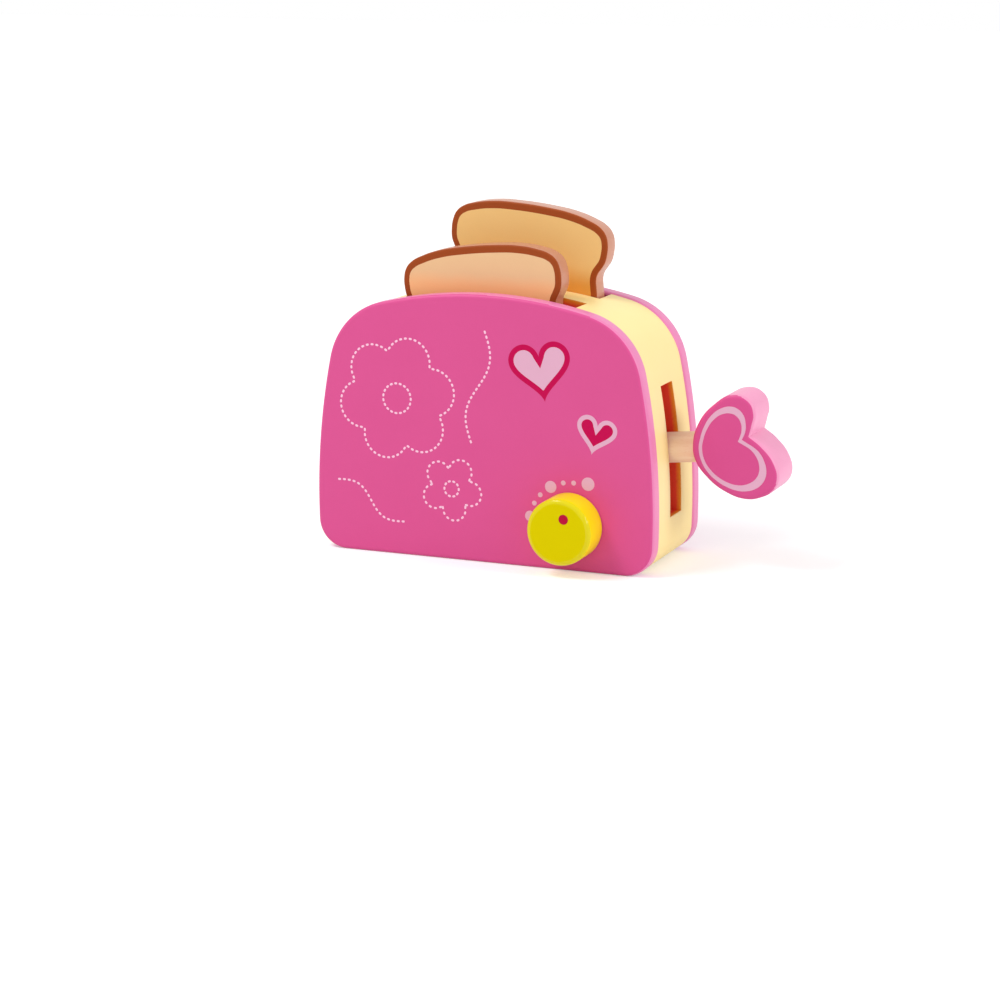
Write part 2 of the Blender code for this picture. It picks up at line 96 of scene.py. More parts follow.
class Slot(Enum):
    """The record's material slots."""

    PINK = "pink_paint"
    YELLOW = "yellow_paint"
    HEART = "heart_paint"
    KNOB = "knob_paint"
    TOAST = "toast_paint"
    BEECH = "beech"
    STEEL = "steel"


class Grain(Enum):
    """The axis that a turned wooden piece's grain runs along."""

    ALONG_X = (0.0, 0.0, 0.0)
    ALONG_Y = (0.0, 0.0, -pi / 2)
    ALONG_Z = (0.0, pi / 2, 0.0)


class Shape:
    """The arcs of the board outline, which boards, core and the painted shade inside the cuts share."""

    HALF_WIDTH = 95.0 * MM
    HEIGHT = 141.2 * MM
    WIDEST_HEIGHT = 28.2 * MM
    FOOT_RADIUS = 15.8 * MM
    SIDE_RADIUS = 365.7 * MM
    SHOULDER_RADIUS = 39.8 * MM
    CROWN_RADIUS = 239.7 * MM

    @classmethod
    def side_centre(cls) -> Point:
        """Return the centre of the right side's arc."""
        return cls.HALF_WIDTH - cls.SIDE_RADIUS, cls.WIDEST_HEIGHT

    @classmethod
    def crown_centre(cls) -> Point:
        """Return the centre of the crown's arc."""
        return 0.0, cls.HEIGHT - cls.CROWN_RADIUS

    @classmethod
    def outline(cls, moved_in: float, on_table: bool = False) -> list[Point]:
        """Return the board outline.

        Args:
            moved_in: How far it lies inside the panel's outline.
            on_table: Whether its underside stays at zero all the same.

        Returns:
            The points, counter-clockwise from the right foot.
        """
        foot, side = cls.FOOT_RADIUS - moved_in, cls.SIDE_RADIUS - moved_in
        shoulder, crown = cls.SHOULDER_RADIUS - moved_in, cls.CROWN_RADIUS - moved_in
        side_centre, crown_centre = cls.side_centre(), cls.crown_centre()
        foot_z = foot if on_table else cls.FOOT_RADIUS
        foot_x = side_centre[0] + sqrt((side - foot) ** 2 - (cls.WIDEST_HEIGHT - foot_z) ** 2)
        foot_centre = (foot_x, foot_z)
        shoulder_centre = circles_meet(side_centre, side - shoulder, crown_centre, crown - shoulder)
        foot_end = atan2(foot_centre[1] - side_centre[1], foot_centre[0] - side_centre[0])
        side_end = atan2(shoulder_centre.y - side_centre[1], shoulder_centre.x - side_centre[0])
        shoulder_end = atan2(shoulder_centre.y - crown_centre[1], shoulder_centre.x - crown_centre[0])
        right = arc(foot_centre, foot, -pi / 2, foot_end, 14)
        right += arc(side_centre, side, foot_end, side_end, 22)
        right += arc((shoulder_centre.x, shoulder_centre.y), shoulder, side_end, shoulder_end, 24)
        right += arc(crown_centre, crown, shoulder_end, pi / 2, 22)
        return right + [(0.0, crown_centre[1] + crown)] + [(-x, z) for x, z in reversed(right)]


class NodeSheet:
    """Short ways to place and link nodes in one tree."""

    def __init__(self, tree: bpy.types.NodeTree) -> None:
        """Keep the tree that the nodes go into."""
        self.tree = tree

    def add(self, kind: str, inputs: dict[Any, Any] | None = None, **settings: Any) -> bpy.types.Node:
        """Place a node, set its properties and fill or link its inputs.

        Args:
            kind: Blender's name of the node type.
            inputs: Values or output sockets, by input name or number.
            **settings: Properties of the node.

        Returns:
            The new node.
        """
        node = self.tree.nodes.new(kind)
        for name, value in settings.items():
            setattr(node, name, value)
        for key, value in (inputs or {}).items():
            if isinstance(value, bpy.types.NodeSocket):
                self.tree.links.new(value, node.inputs[key])
            else:
                node.inputs[key].default_value = value
        return node

    def math(self, operation: str, first: Any, second: Any = 0.0,
             clamp: bool = False) -> bpy.types.NodeSocket:
        """Return the result of a sum of two values or sockets."""
        node = self.add("ShaderNodeMath", {0: first, 1: second}, operation=operation, use_clamp=clamp)
        return node.outputs[0]

    def mix(self, share: Any, first: Any, second: Any, blend: str = "MIX") -> bpy.types.NodeSocket:
        """Return two colours mixed by a share."""
        node = self.add("ShaderNodeMix", data_type="RGBA", blend_type=blend)
        for key, value in ((0, share), (6, first), (7, second)):
            if isinstance(value, bpy.types.NodeSocket):
                self.tree.links.new(value, node.inputs[key])
            else:
                node.inputs[key].default_value = value
        return node.outputs[2]

    def noise(self, vector: Any, scale: Any, detail: float = 2.0,
              rough: float = 0.5) -> bpy.types.NodeSocket:
        """Return the value of a noise pattern, 0 to 1 with its middle at 0.5."""
        inputs = {"Vector": vector, "Scale": scale, "Detail": detail, "Roughness": rough}
        return self.add("ShaderNodeTexNoise", inputs).outputs["Fac"]


def group_sheet(name: str, inputs: Sequence[tuple[str, str, Any]],
                outputs: Sequence[tuple[str, str]]) -> tuple[NodeSheet, bpy.types.Node, bpy.types.Node]:
    """Start a shader node group with named sockets.

    Args:
        name: The group's name.
        inputs: Name, socket kind and default of each input.
        outputs: Name and socket kind of each output.

    Returns:
        The group's sheet, its input node and its output node.
    """
    tree = bpy.data.node_groups.new(name, "ShaderNodeTree")
    for label, kind, value in inputs:
        socket = tree.interface.new_socket(label, in_out="INPUT", socket_type="NodeSocket" + kind)
        if value is not None:
            socket.default_value = value
    for label, kind in outputs:
        tree.interface.new_socket(label, in_out="OUTPUT", socket_type="NodeSocket" + kind)
    sheet = NodeSheet(tree)
    return sheet, sheet.add("NodeGroupInput"), sheet.add("NodeGroupOutput")


class SharedEffects:
    """Shader node groups that several finishes share, each built once."""

    def __init__(self) -> None:
        """Build the groups."""
        self.paint = self.sprayed_paint()
        self.grain = self.wood_grain()
        self.rub = self.rubbed_edge()
        self.recess_shade = self.painted_recess_shade()
        self.painted_foot_light = self.painted_light_at_foot()

    def sprayed_paint(self) -> bpy.types.NodeTree:
        """Return the group of a sprayed film: soft clouds of tone, fine orange peel and dust nibs."""
        sheet, given, made = group_sheet(
            "sprayed_paint",
            [("Colour", "Color", (1, 1, 1, 1)), ("Shade", "Color", (0.8, 0.8, 0.8, 1)),
             ("Clouding", "Float", 0.3), ("Cloud Size", "Float", 0.03), ("Peel Size", "Float", 0.0012),
             ("Gloss Loss", "Float", 0.4)],
            [("Colour", "Color"), ("Roughness", "Float"), ("Height", "Float")])
        place = sheet.add("ShaderNodeTexCoord").outputs["Object"]
        cloud_scale = sheet.math("DIVIDE", 1.0, given.outputs["Cloud Size"])
        peel_scale = sheet.math("DIVIDE", 1.0, given.outputs["Peel Size"])
        cloud = sheet.noise(place, cloud_scale, 3.0)
        peel = sheet.noise(place, peel_scale, 1.0)
        fine = sheet.noise(place, sheet.math("MULTIPLY", peel_scale, 3.5), 2.0, 0.6)
        clouds = sheet.math("SUBTRACT", cloud, 0.38, True)
        share = sheet.math("MULTIPLY", clouds, given.outputs["Clouding"], True)
        clouded = sheet.mix(share, given.outputs["Colour"], given.outputs["Shade"])
        grit = sheet.math("MULTIPLY", sheet.math("SUBTRACT", fine, 0.5), 0.10)
        speckle = sheet.math("ADD", 1.0, grit)
        grey = sheet.add("ShaderNodeCombineColor", {0: speckle, 1: speckle, 2: speckle}).outputs[0]
        toned = sheet.mix(1.0, clouded, grey, "MULTIPLY")
        drift = sheet.math("MULTIPLY", sheet.math("SUBTRACT", cloud, 0.5), 0.12)
        rough = sheet.math("ADD", given.outputs["Gloss Loss"], sheet.math("ADD", drift, grit), True)
        nib_map = sheet.add("ShaderNodeTexVoronoi", {"Vector": place, "Scale": 240.0}).outputs["Distance"]
        nib = sheet.math("MULTIPLY", sheet.math("SUBTRACT", 0.10, nib_map, True), 3.0)
        height = sheet.math("ADD", peel, sheet.math("ADD", sheet.math("MULTIPLY", fine, 0.25), nib))
        sheet.tree.links.new(toned, made.inputs["Colour"])
        sheet.tree.links.new(rough, made.inputs["Roughness"])
        sheet.tree.links.new(height, made.inputs["Height"])
        return sheet.tree

    def wood_grain(self) -> bpy.types.NodeTree:
        """Return the group of bare beech: growth lines, ray flecks and fine pores along local X."""
        sheet, given, made = group_sheet(
            "wood_grain",
            [("Place", "Vector", None), ("Light", "Color", (1, 1, 1, 1)),
             ("Dark", "Color", (0.5, 0.4, 0.3, 1)), ("Line Pitch", "Float", 0.002),
             ("Contrast", "Float", 0.6), ("Fleck", "Float", 0.35)],
            [("Colour", "Color"), ("Roughness", "Float"), ("Height", "Float")])
        place = given.outputs["Place"]
        pitch_scale = sheet.math("DIVIDE", 1.0, given.outputs["Line Pitch"])
        long_lines, pores_place, fleck_place = (
            sheet.add("ShaderNodeMapping", {"Vector": place, "Scale": scale}).outputs[0]
            for scale in ((0.045, 1.0, 0.35), (0.09, 1.0, 1.0), (0.3, 1.0, 1.0)))
        lines = sheet.noise(long_lines, pitch_scale, 3.0, 0.55)
        pores = sheet.noise(pores_place, 3200.0, 2.0, 0.6)
        flecks = sheet.noise(fleck_place, 1500.0, 1.0)
        ramp = sheet.add("ShaderNodeMapRange", {0: lines, 1: 0.36, 2: 0.64},
                         interpolation_type="SMOOTHSTEP")
        share = sheet.math("MULTIPLY", ramp.outputs[0], given.outputs["Contrast"], True)
        lined = sheet.mix(share, given.outputs["Light"], given.outputs["Dark"])
        fleck_cut = sheet.add("ShaderNodeMapRange", {0: flecks, 1: 0.60, 2: 0.68}).outputs[0]
        fleck_share = sheet.math("MULTIPLY", fleck_cut, given.outputs["Fleck"], True)
        flecked = sheet.mix(fleck_share, lined, given.outputs["Dark"])
        pore_share = sheet.math("MULTIPLY", sheet.math("SUBTRACT", pores, 0.5, True), 0.6)
        toned = sheet.mix(pore_share, flecked, given.outputs["Dark"])
        rough = sheet.math("ADD", 0.52, sheet.math("MULTIPLY", pores, 0.2))
        raised, sunk = sheet.math("MULTIPLY", lines, 0.5), sheet.math("MULTIPLY", pores, 0.8)
        height = sheet.math("SUBTRACT", raised, sunk)
        sheet.tree.links.new(toned, made.inputs["Colour"])
        sheet.tree.links.new(rough, made.inputs["Roughness"])
        sheet.tree.links.new(height, made.inputs["Height"])
        return sheet.tree

    def rubbed_edge(self) -> bpy.types.NodeTree:
        """Return the group that lightens a rounded edge a little, in patches, as handling does."""
        sheet, given, made = group_sheet(
            "rubbed_edge",
            [("Colour", "Color", (1, 1, 1, 1)), ("Worn", "Color", (1, 1, 1, 1)), ("Edge", "Float", 0.0),
             ("Wear", "Float", 0.2), ("Patch Size", "Float", 0.006)],
            [("Colour", "Color")])
        place = sheet.add("ShaderNodeTexCoord").outputs["Object"]
        patch = sheet.noise(place, sheet.math("DIVIDE", 1.0, given.outputs["Patch Size"]), 4.0, 0.65)
        spots = sheet.add("ShaderNodeMapRange", {0: patch, 1: 0.50, 2: 0.72}).outputs[0]
        rubbed = sheet.math("MULTIPLY", spots, given.outputs["Edge"])
        mask = sheet.math("MULTIPLY", rubbed, given.outputs["Wear"], True)
        toned = sheet.mix(mask, given.outputs["Colour"], given.outputs["Worn"])
        sheet.tree.links.new(toned, made.inputs["Colour"])
        return sheet.tree

    def painted_recess_shade(self) -> bpy.types.NodeTree:
        """Return the group of painted shade inside a cut: the outer paint's colour turns red by depth below
        side and crown.
        """
        sheet, given, made = group_sheet(
            "painted_recess_shade",
            [("Outer", "Color", (1, 0.9, 0.6, 1)), ("Between", "Color", (0.9, 0.5, 0.1, 1)),
             ("Inner", "Color", (0.8, 0.1, 0.05, 1)), ("Side Centre", "Vector", None),
             ("Side Radius", "Float", 0.3), ("Crown Centre", "Vector", None),
             ("Crown Radius", "Float", 0.2), ("Reach", "Float", 0.006)],
            [("Colour", "Color")])
        place = sheet.add("ShaderNodeTexCoord").outputs["Object"]
        depths = []
        for label in ("Side", "Crown"):
            away = sheet.add("ShaderNodeVectorMath", {0: place, 1: given.outputs[label + " Centre"]},
                             operation="SUBTRACT").outputs[0]
            flat = sheet.add("ShaderNodeVectorMath", {0: away, 1: (1, 0, 1)},
                             operation="MULTIPLY").outputs[0]
            reach = sheet.add("ShaderNodeVectorMath", {0: flat}, operation="LENGTH").outputs["Value"]
            depths.append(sheet.math("SUBTRACT", given.outputs[label + " Radius"], reach))
        depth = sheet.math("MINIMUM", depths[0], depths[1])
        # noise that roughens the edge of the painted shade
        shade_jitter = sheet.math("MULTIPLY", sheet.math("SUBTRACT", sheet.noise(place, 900.0, 3.0), 0.5), 0.35)
        share = sheet.math("ADD", sheet.math("DIVIDE", depth, given.outputs["Reach"]), shade_jitter, True)
        early = sheet.add("ShaderNodeMapRange", {0: share, 1: 0.0, 2: 0.35}).outputs[0]
        late = sheet.add("ShaderNodeMapRange", {0: share, 1: 0.35, 2: 1.0}).outputs[0]
        first = sheet.mix(early, given.outputs["Outer"], given.outputs["Between"])
        sheet.tree.links.new(sheet.mix(late, first, given.outputs["Inner"]), made.inputs["Colour"])
        return sheet.tree

    def painted_light_at_foot(self) -> bpy.types.NodeTree:
        """Return the group that blends a bread colour below a height into a tone of painted light and
        shade, in place of the crown's glow.
        """
        sheet, given, made = group_sheet(
            "painted_light_at_foot",
            [("Colour", "Color", (1, 1, 1, 1)), ("Painted Foot Tone", "Color", (0.8, 0.4, 0.1, 1)),
             ("Low", "Float", 0.14), ("High", "Float", 0.15)],
            [("Colour", "Color")])
        place = sheet.add("ShaderNodeTexCoord").outputs["Object"]
        height = sheet.add("ShaderNodeSeparateXYZ", {0: place}).outputs[2]
        drift = sheet.math("MULTIPLY", sheet.math("SUBTRACT", sheet.noise(place, 60.0, 3.0), 0.5), 3 * MM)
        inputs = {0: sheet.math("ADD", height, drift), 1: given.outputs["High"], 2: given.outputs["Low"]}
        share = sheet.add("ShaderNodeMapRange", inputs, interpolation_type="SMOOTHSTEP").outputs[0]
        # below the height the bread takes the painted light and shade tone
        toned = sheet.mix(share, given.outputs["Colour"], given.outputs["Painted Foot Tone"])
        sheet.tree.links.new(toned, made.inputs["Colour"])
        return sheet.tree


@dataclass(frozen=True)
class PaintFinish:
    """A sprayed or printed paint film."""

    name: str
    colour: Colour
    shade: Colour
    clouding: float = 0.5
    cloud_size: float = 30 * MM
    peel_size: float = 1.1 * MM
    peel_depth: float = 0.010 * MM
    dullness: float = 0.42
    sheen_level: float = 0.28
    coat: float = 0.0
    coat_dullness: float = 0.08
    wear: float = 0.12

    def material(self, effects: SharedEffects) -> bpy.types.Material:
        """Build the material.

        Args:
            effects: The shared shader groups.

        Returns:
            The finished material.
        """
        made = bpy.data.materials.new(self.name)
        made.use_nodes = True
        made.diffuse_color = (*self.colour, 1)
        sheet = NodeSheet(made.node_tree)
        shader = made.node_tree.nodes["Principled BSDF"]
        film = sheet.add("ShaderNodeGroup", node_tree=effects.paint)
        film.inputs["Colour"].default_value = (*self.colour, 1)
        film.inputs["Shade"].default_value = (*self.shade, 1)
        film.inputs["Clouding"].default_value = self.clouding
        film.inputs["Cloud Size"].default_value = self.cloud_size
        film.inputs["Peel Size"].default_value = self.peel_size
        film.inputs["Gloss Loss"].default_value = self.dullness
        edge = sheet.add("ShaderNodeAttribute", attribute_name="edge").outputs["Fac"]
        rub = sheet.add("ShaderNodeGroup", node_tree=effects.rub)
        sheet.tree.links.new(film.outputs["Colour"], rub.inputs["Colour"])
        sheet.tree.links.new(edge, rub.inputs["Edge"])
        worn = tuple(min(1.0, value * 1.15 + 0.06) for value in self.colour)
        rub.inputs["Worn"].default_value = (*worn, 1)
        rub.inputs["Wear"].default_value = self.wear
        bump_inputs = {"Height": film.outputs["Height"], "Distance": self.peel_depth, "Strength": 1.0}
        bump = sheet.add("ShaderNodeBump", bump_inputs)
        sheet.tree.links.new(rub.outputs["Colour"], shader.inputs["Base Color"])
        sheet.tree.links.new(film.outputs["Roughness"], shader.inputs["Roughness"])
        sheet.tree.links.new(bump.outputs["Normal"], shader.inputs["Normal"])
        shader.inputs["Specular IOR Level"].default_value = self.sheen_level
        shader.inputs["Coat Weight"].default_value = self.coat
        shader.inputs["Coat Roughness"].default_value = self.coat_dullness
        self.dress(sheet, film, effects)
        return made

    def dress(self, sheet: NodeSheet, film: bpy.types.Node, effects: SharedEffects) -> None:
        """Add what a special finish links to the paint film; a plain one adds nothing."""


@dataclass(frozen=True)
class RecessShadeFinish(PaintFinish):
    """Painted shade and painted reflection inside the cuts: red deep in, turning to the outer paint's
    colour near their mouths.
    """

    outer: Colour = (1.0, 0.9, 0.6)
    between: Colour = (0.9, 0.5, 0.1)
    side_centre: tuple[float, float, float] = (0.0, 0.0, 0.0)
    side_radius: float = 0.3
    crown_centre: tuple[float, float, float] = (0.0, 0.0, 0.0)
    crown_radius: float = 0.2
    reach: float = 7 * MM

    def dress(self, sheet: NodeSheet, film: bpy.types.Node, effects: SharedEffects) -> None:
        """Link the painted recess shade's colour to the paint film.

        Args:
            sheet: The material's sheet.
            film: The node of the paint film.
            effects: The shared shader groups.
        """
        fade = sheet.add("ShaderNodeGroup", node_tree=effects.recess_shade)
        values = {"Outer": (*self.outer, 1), "Between": (*self.between, 1), "Inner": (*self.colour, 1),
                  "Side Centre": self.side_centre, "Side Radius": self.side_radius,
                  "Crown Centre": self.crown_centre, "Crown Radius": self.crown_radius, "Reach": self.reach}
        for label, value in values.items():
            fade.inputs[label].default_value = value
        sheet.tree.links.new(fade.outputs["Colour"], film.inputs["Colour"])
        sheet.tree.links.new(fade.outputs["Colour"], film.inputs["Shade"])


@dataclass(frozen=True)
class BreadFinish(PaintFinish):
    """The printed bread face, with painted light and shade below the crown's height as at rest, in place of
    the glow there.

    The gradient is paint: on a raised slice it shows as a soft band.
    """

    # the tone of the painted light and shade at the slice's foot
    painted_foot_tone: Colour = (0.8, 0.4, 0.1)
    low: float = 0.14
    high: float = 0.15

    def dress(self, sheet: NodeSheet, film: bpy.types.Node, effects: SharedEffects) -> None:
        """Link the painted light at the foot to the paint film.

        Args:
            sheet: The material's sheet.
            film: The node of the paint film.
            effects: The shared shader groups.
        """
        for socket, colour in (("Colour", self.colour), ("Shade", self.shade)):
            toast = sheet.add("ShaderNodeGroup", node_tree=effects.painted_foot_light)
            values = {"Colour": (*colour, 1), "Painted Foot Tone": (*self.painted_foot_tone, 1), "Low": self.low,
                      "High": self.high}
            for label, value in values.items():
                toast.inputs[label].default_value = value
            sheet.tree.links.new(toast.outputs["Colour"], film.inputs[socket])


@dataclass(frozen=True)
class WoodFinish:
    """Bare sanded wood with its grain along one axis."""

    name: str
    light: Colour
    dark: Colour
    grain: Grain
    tilt: float = 0.0
    contrast: float = 0.6

    def material(self, effects: SharedEffects) -> bpy.types.Material:
        """Build the material.

        Args:
            effects: The shared shader groups.

        Returns:
            The finished material.
        """
        made = bpy.data.materials.new(self.name)
        made.use_nodes = True
        made.diffuse_color = (*self.light, 1)
        sheet = NodeSheet(made.node_tree)
        shader = made.node_tree.nodes["Principled BSDF"]
        place = sheet.add("ShaderNodeTexCoord").outputs["Object"]
        turn = self.grain.value if not self.tilt else (0.0, self.tilt, 0.0)
        along = sheet.add("ShaderNodeMapping", {"Vector": place, "Rotation": turn}).outputs[0]
        wood = sheet.add("ShaderNodeGroup", node_tree=effects.grain)
        sheet.tree.links.new(along, wood.inputs["Place"])
        wood.inputs["Light"].default_value = (*self.light, 1)
        wood.inputs["Dark"].default_value = (*self.dark, 1)
        wood.inputs["Contrast"].default_value = self.contrast
        bump_inputs = {"Height": wood.outputs["Height"], "Distance": 0.03 * MM, "Strength": 0.8}
        bump = sheet.add("ShaderNodeBump", bump_inputs)
        sheet.tree.links.new(wood.outputs["Colour"], shader.inputs["Base Color"])
        sheet.tree.links.new(wood.outputs["Roughness"], shader.inputs["Roughness"])
        sheet.tree.links.new(bump.outputs["Normal"], shader.inputs["Normal"])
        return made


@dataclass(frozen=True)
class SteelFinish:
    """Zinc plated steel with fine turning marks."""

    name: str
    colour: Colour
    roughness: float = 0.32

    def material(self, effects: SharedEffects) -> bpy.types.Material:
        """Build the material.

        Args:
            effects: The shared shader groups, whose spray clouds give the plating its bloom.

        Returns:
            The finished material.
        """
        made = bpy.data.materials.new(self.name)
        made.use_nodes = True
        made.diffuse_color = (*self.colour, 1)
        sheet = NodeSheet(made.node_tree)
        shader = made.node_tree.nodes["Principled BSDF"]
        shader.inputs["Metallic"].default_value = 1.0
        film = sheet.add("ShaderNodeGroup", node_tree=effects.paint)
        film.inputs["Colour"].default_value = (*self.colour, 1)
        film.inputs["Shade"].default_value = tuple(0.7 * value for value in self.colour) + (1,)
        film.inputs["Cloud Size"].default_value = 3 * MM
        film.inputs["Peel Size"].default_value = 0.3 * MM
        film.inputs["Gloss Loss"].default_value = self.roughness
        place = sheet.add("ShaderNodeTexCoord").outputs["Object"]
        stretched = sheet.add("ShaderNodeMapping", {"Vector": place, "Scale": (1.0, 0.05, 1.0)})
        marks = sheet.noise(stretched.outputs[0], 5200.0, 1.0)
        bump = sheet.add("ShaderNodeBump", {"Height": marks, "Distance": 0.01 * MM, "Strength": 0.6})
        sheet.tree.links.new(film.outputs["Colour"], shader.inputs["Base Color"])
        sheet.tree.links.new(film.outputs["Roughness"], shader.inputs["Roughness"])
        sheet.tree.links.new(bump.outputs["Normal"], shader.inputs["Normal"])
        return made


class Paints:
    """Every finish of the toy, made as materials."""

    def __init__(self, effects: SharedEffects) -> None:
        """Build the materials.

        Args:
            effects: The shared shader groups.
        """
        def paint(name: str, colour: Colour, shade: Colour, **changes: Any) -> bpy.types.Material:
            """Build one paint's material."""
            return PaintFinish(name, colour, shade, **changes).material(effects)

        self.pink = paint("pink_face_paint", srgb(221, 81, 146), srgb(214, 74, 138), dullness=0.44)
        self.pink_edge = paint("pale_pink_edge_paint", srgb(233, 131, 181), srgb(227, 123, 173),
                               dullness=0.36)
        self.yellow = paint("pale_yellow_paint", srgb(255, 232, 162), srgb(253, 226, 152), dullness=0.45)
        side_centre, crown_centre = Shape.side_centre(), Shape.crown_centre()
        # The red inside the cuts is painted shade and the painted reflection of their yellow walls, not a
        # paint of its own.
        self.inside = RecessShadeFinish(
            "slot_inside_painted_shade", srgb(240, 72, 46), srgb(232, 66, 42), dullness=0.6, wear=0.0, reach=4 * MM,
            outer=srgb(255, 224, 140), between=srgb(246, 156, 34),
            side_centre=(side_centre[0], 0.0, side_centre[1]), side_radius=Shape.SIDE_RADIUS,
            crown_centre=(crown_centre[0], 0.0, crown_centre[1]), crown_radius=Shape.CROWN_RADIUS,
        ).material(effects)
        # These three tones stand for one yellow paint: the side's brighter, warmer tone is partly painted
        # light and the pink panel's painted reflection, the face's greener tone partly painted shade.
        self.knob_face_painted_shade = paint("knob_face_paint", srgb(223, 208, 0), srgb(217, 201, 0), dullness=0.4,
                               sheen_level=0.02)
        self.knob_rim = paint("knob_rim_paint", srgb(226, 212, 0), srgb(220, 205, 0), dullness=0.30,
                              sheen_level=0.05, coat=0.4, coat_dullness=0.08)
        self.knob_side_painted_light = paint("knob_side_paint", srgb(252, 229, 4), srgb(247, 222, 2), dullness=0.32,
                               sheen_level=0.05, coat=0.15)
        self.marker = paint("crimson_marker", srgb(188, 14, 58), srgb(180, 10, 52), dullness=0.4,
                            sheen_level=0.08, wear=0.0)
        self.heart = paint("heart_face_paint", srgb(218, 77, 142), srgb(211, 70, 134), dullness=0.44)
        # Its paler tone than the panel's edge paint is partly painted light on the heart's edge.
        self.heart_edge = paint("heart_edge_paint", srgb(238, 152, 190), srgb(233, 144, 183), dullness=0.36)
        self.pale = paint("pale_pink_print", srgb(229, 175, 200), srgb(224, 168, 194), dullness=0.42,
                          wear=0.0)
        self.crimson = paint("crimson_print", srgb(199, 6, 80), srgb(192, 4, 74), dullness=0.4,
                             sheen_level=0.08, wear=0.0)
        self.dash = paint("dashed_print", srgb(252, 200, 224), srgb(250, 194, 219), dullness=0.42, wear=0.0)
        # The two slices' bread tones differ as the light on them does: the rear's yellower tone is painted
        # reflection of the yellow core. Towards the foot the front slice has a warm painted glow, and the
        # rear slice has painted shade.
        self.bread = {
            Body.FRONT_SLICE: BreadFinish(
                "bread_print_front", srgb(238, 197, 147), srgb(233, 188, 137), dullness=0.55,
                cloud_size=14 * MM, painted_foot_tone=srgb(255, 194, 134), low=141 * MM, high=151 * MM,
            ).material(effects),
            Body.REAR_SLICE: BreadFinish(
                "bread_print_rear", srgb(242, 198, 127), srgb(238, 190, 116), dullness=0.55,
                cloud_size=14 * MM, painted_foot_tone=srgb(224, 154, 66), low=141 * MM, high=154 * MM,
            ).material(effects),
        }
        self.crust = paint("crust_print", srgb(158, 72, 26), srgb(148, 62, 22), dullness=0.45,
                           sheen_level=0.15)
        # The rind's pale tone is partly painted reflection of the pale surroundings, seen at a grazing
        # angle.
        self.rind = paint("rind_paint", srgb(202, 138, 110), srgb(190, 124, 96), dullness=0.3)
        self.lever_wood = WoodFinish("beech_lever", srgb(255, 226, 194), srgb(243, 202, 162), Grain.ALONG_X,
                                     tilt=radians(5.9), contrast=0.4).material(effects)
        self.cross_wood = WoodFinish("beech_cross", srgb(250, 214, 178), srgb(226, 174, 130),
                                     Grain.ALONG_Y).material(effects)
        self.block_wood = WoodFinish("beech_block", srgb(250, 214, 178), srgb(226, 174, 130),
                                     Grain.ALONG_Z).material(effects)
        self.steel = SteelFinish("zinc_plated_steel", (0.55, 0.56, 0.58)).material(effects)


def arc(centre: Point, radius: float, start: float, end: float, steps: int) -> list[Point]:
    """Return points along an arc, without its last one."""
    return [(centre[0] + radius * cos(start + (end - start) * i / steps),
             centre[1] + radius * sin(start + (end - start) * i / steps)) for i in range(steps)]


def circles_meet(first: Point, first_radius: float, second: Point, second_radius: float) -> Vector:
    """Return the crossing of two circles that lies further to the right."""
    across = Vector(second) - Vector(first)
    gap = across.length
    along = (first_radius ** 2 - second_radius ** 2 + gap ** 2) / (2 * gap)
    aside = sqrt(first_radius ** 2 - along ** 2)
    foot = Vector(first) + across * along / gap
    normal = Vector((-across.y, across.x)) / gap
    return max((foot + normal * aside, foot - normal * aside), key=lambda point: point.x)


def smooth_closed(points: Sequence[Point], corners: Sequence[int] = (), steps: int = 12) -> list[Point]:
    """Return a dense closed outline, a smooth curve through a few points.

    Args:
        points: The points that the curve runs through.
        corners: The numbers of the points that stay sharp.
        steps: The number of stretches between two points.

    Returns:
        The dense outline, in order.
    """
    data = bpy.data.curves.new("outline", "CURVE")
    data.resolution_u = steps
    spline = data.splines.new("BEZIER")
    spline.bezier_points.add(len(points) - 1)
    for index, (x, z) in enumerate(points):
        knot = spline.bezier_points[index]
        knot.co = (x, z, 0)
        kind = "VECTOR" if index in corners else "AUTO"
        knot.handle_left_type = kind
        knot.handle_right_type = kind
    spline.use_cyclic_u = True
    holder = bpy.data.objects.new("outline", data)
    bpy.context.scene.collection.objects.link(holder)
    bpy.context.view_layer.update()
    mesh = bpy.data.meshes.new_from_object(holder.evaluated_get(bpy.context.evaluated_depsgraph_get()))
    dense = [(vertex.co.x, vertex.co.y) for vertex in mesh.vertices]
    bpy.data.objects.remove(holder, do_unlink=True)
    bpy.data.meshes.remove(mesh)
    return dense


def inset(points: Sequence[Point], distance: float) -> list[Point]:
    """Return a counter-clockwise outline moved inwards, with its corners mitred."""
    moved = []
    count = len(points)
    for index, (x, z) in enumerate(points):
        before, after = points[index - 1], points[(index + 1) % count]
        first = Vector((x - before[0], z - before[1])).normalized()
        second = Vector((after[0] - x, after[1] - z)).normalized()
        along = (first + second).normalized()
        stretch = max(0.5, along.dot(first))
        moved.append((x - along.y * distance / stretch, z + along.x * distance / stretch))
    return moved


def shrunk(points: Sequence[Point], distance: float) -> list[Point]:
    """Return a dense outline moved inwards, without what would cross itself at tips and notches."""
    kept = []
    for x, z in inset(points, distance):
        nearest = min(hypot(x - a, z - b) for a, b in points)
        if nearest > distance * 0.99:
            kept.append((x, z))
    return kept


def fitted(points: Sequence[Point], node: str) -> list[Point]:
    """Return an outline stretched a hair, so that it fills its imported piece's box exactly."""
    low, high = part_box(node)
    spans = []
    for axis, (start, end) in enumerate(((low.x, high.x), (low.z, high.z))):
        values = [point[axis] for point in points]
        least, most = min(values), max(values)
        spans.append((least, start, (end - start) / (most - least)))
    (x_least, x_start, x_scale), (z_least, z_start, z_scale) = spans
    return [(x_start + (x - x_least) * x_scale, z_start + (z - z_least) * z_scale) for x, z in points]


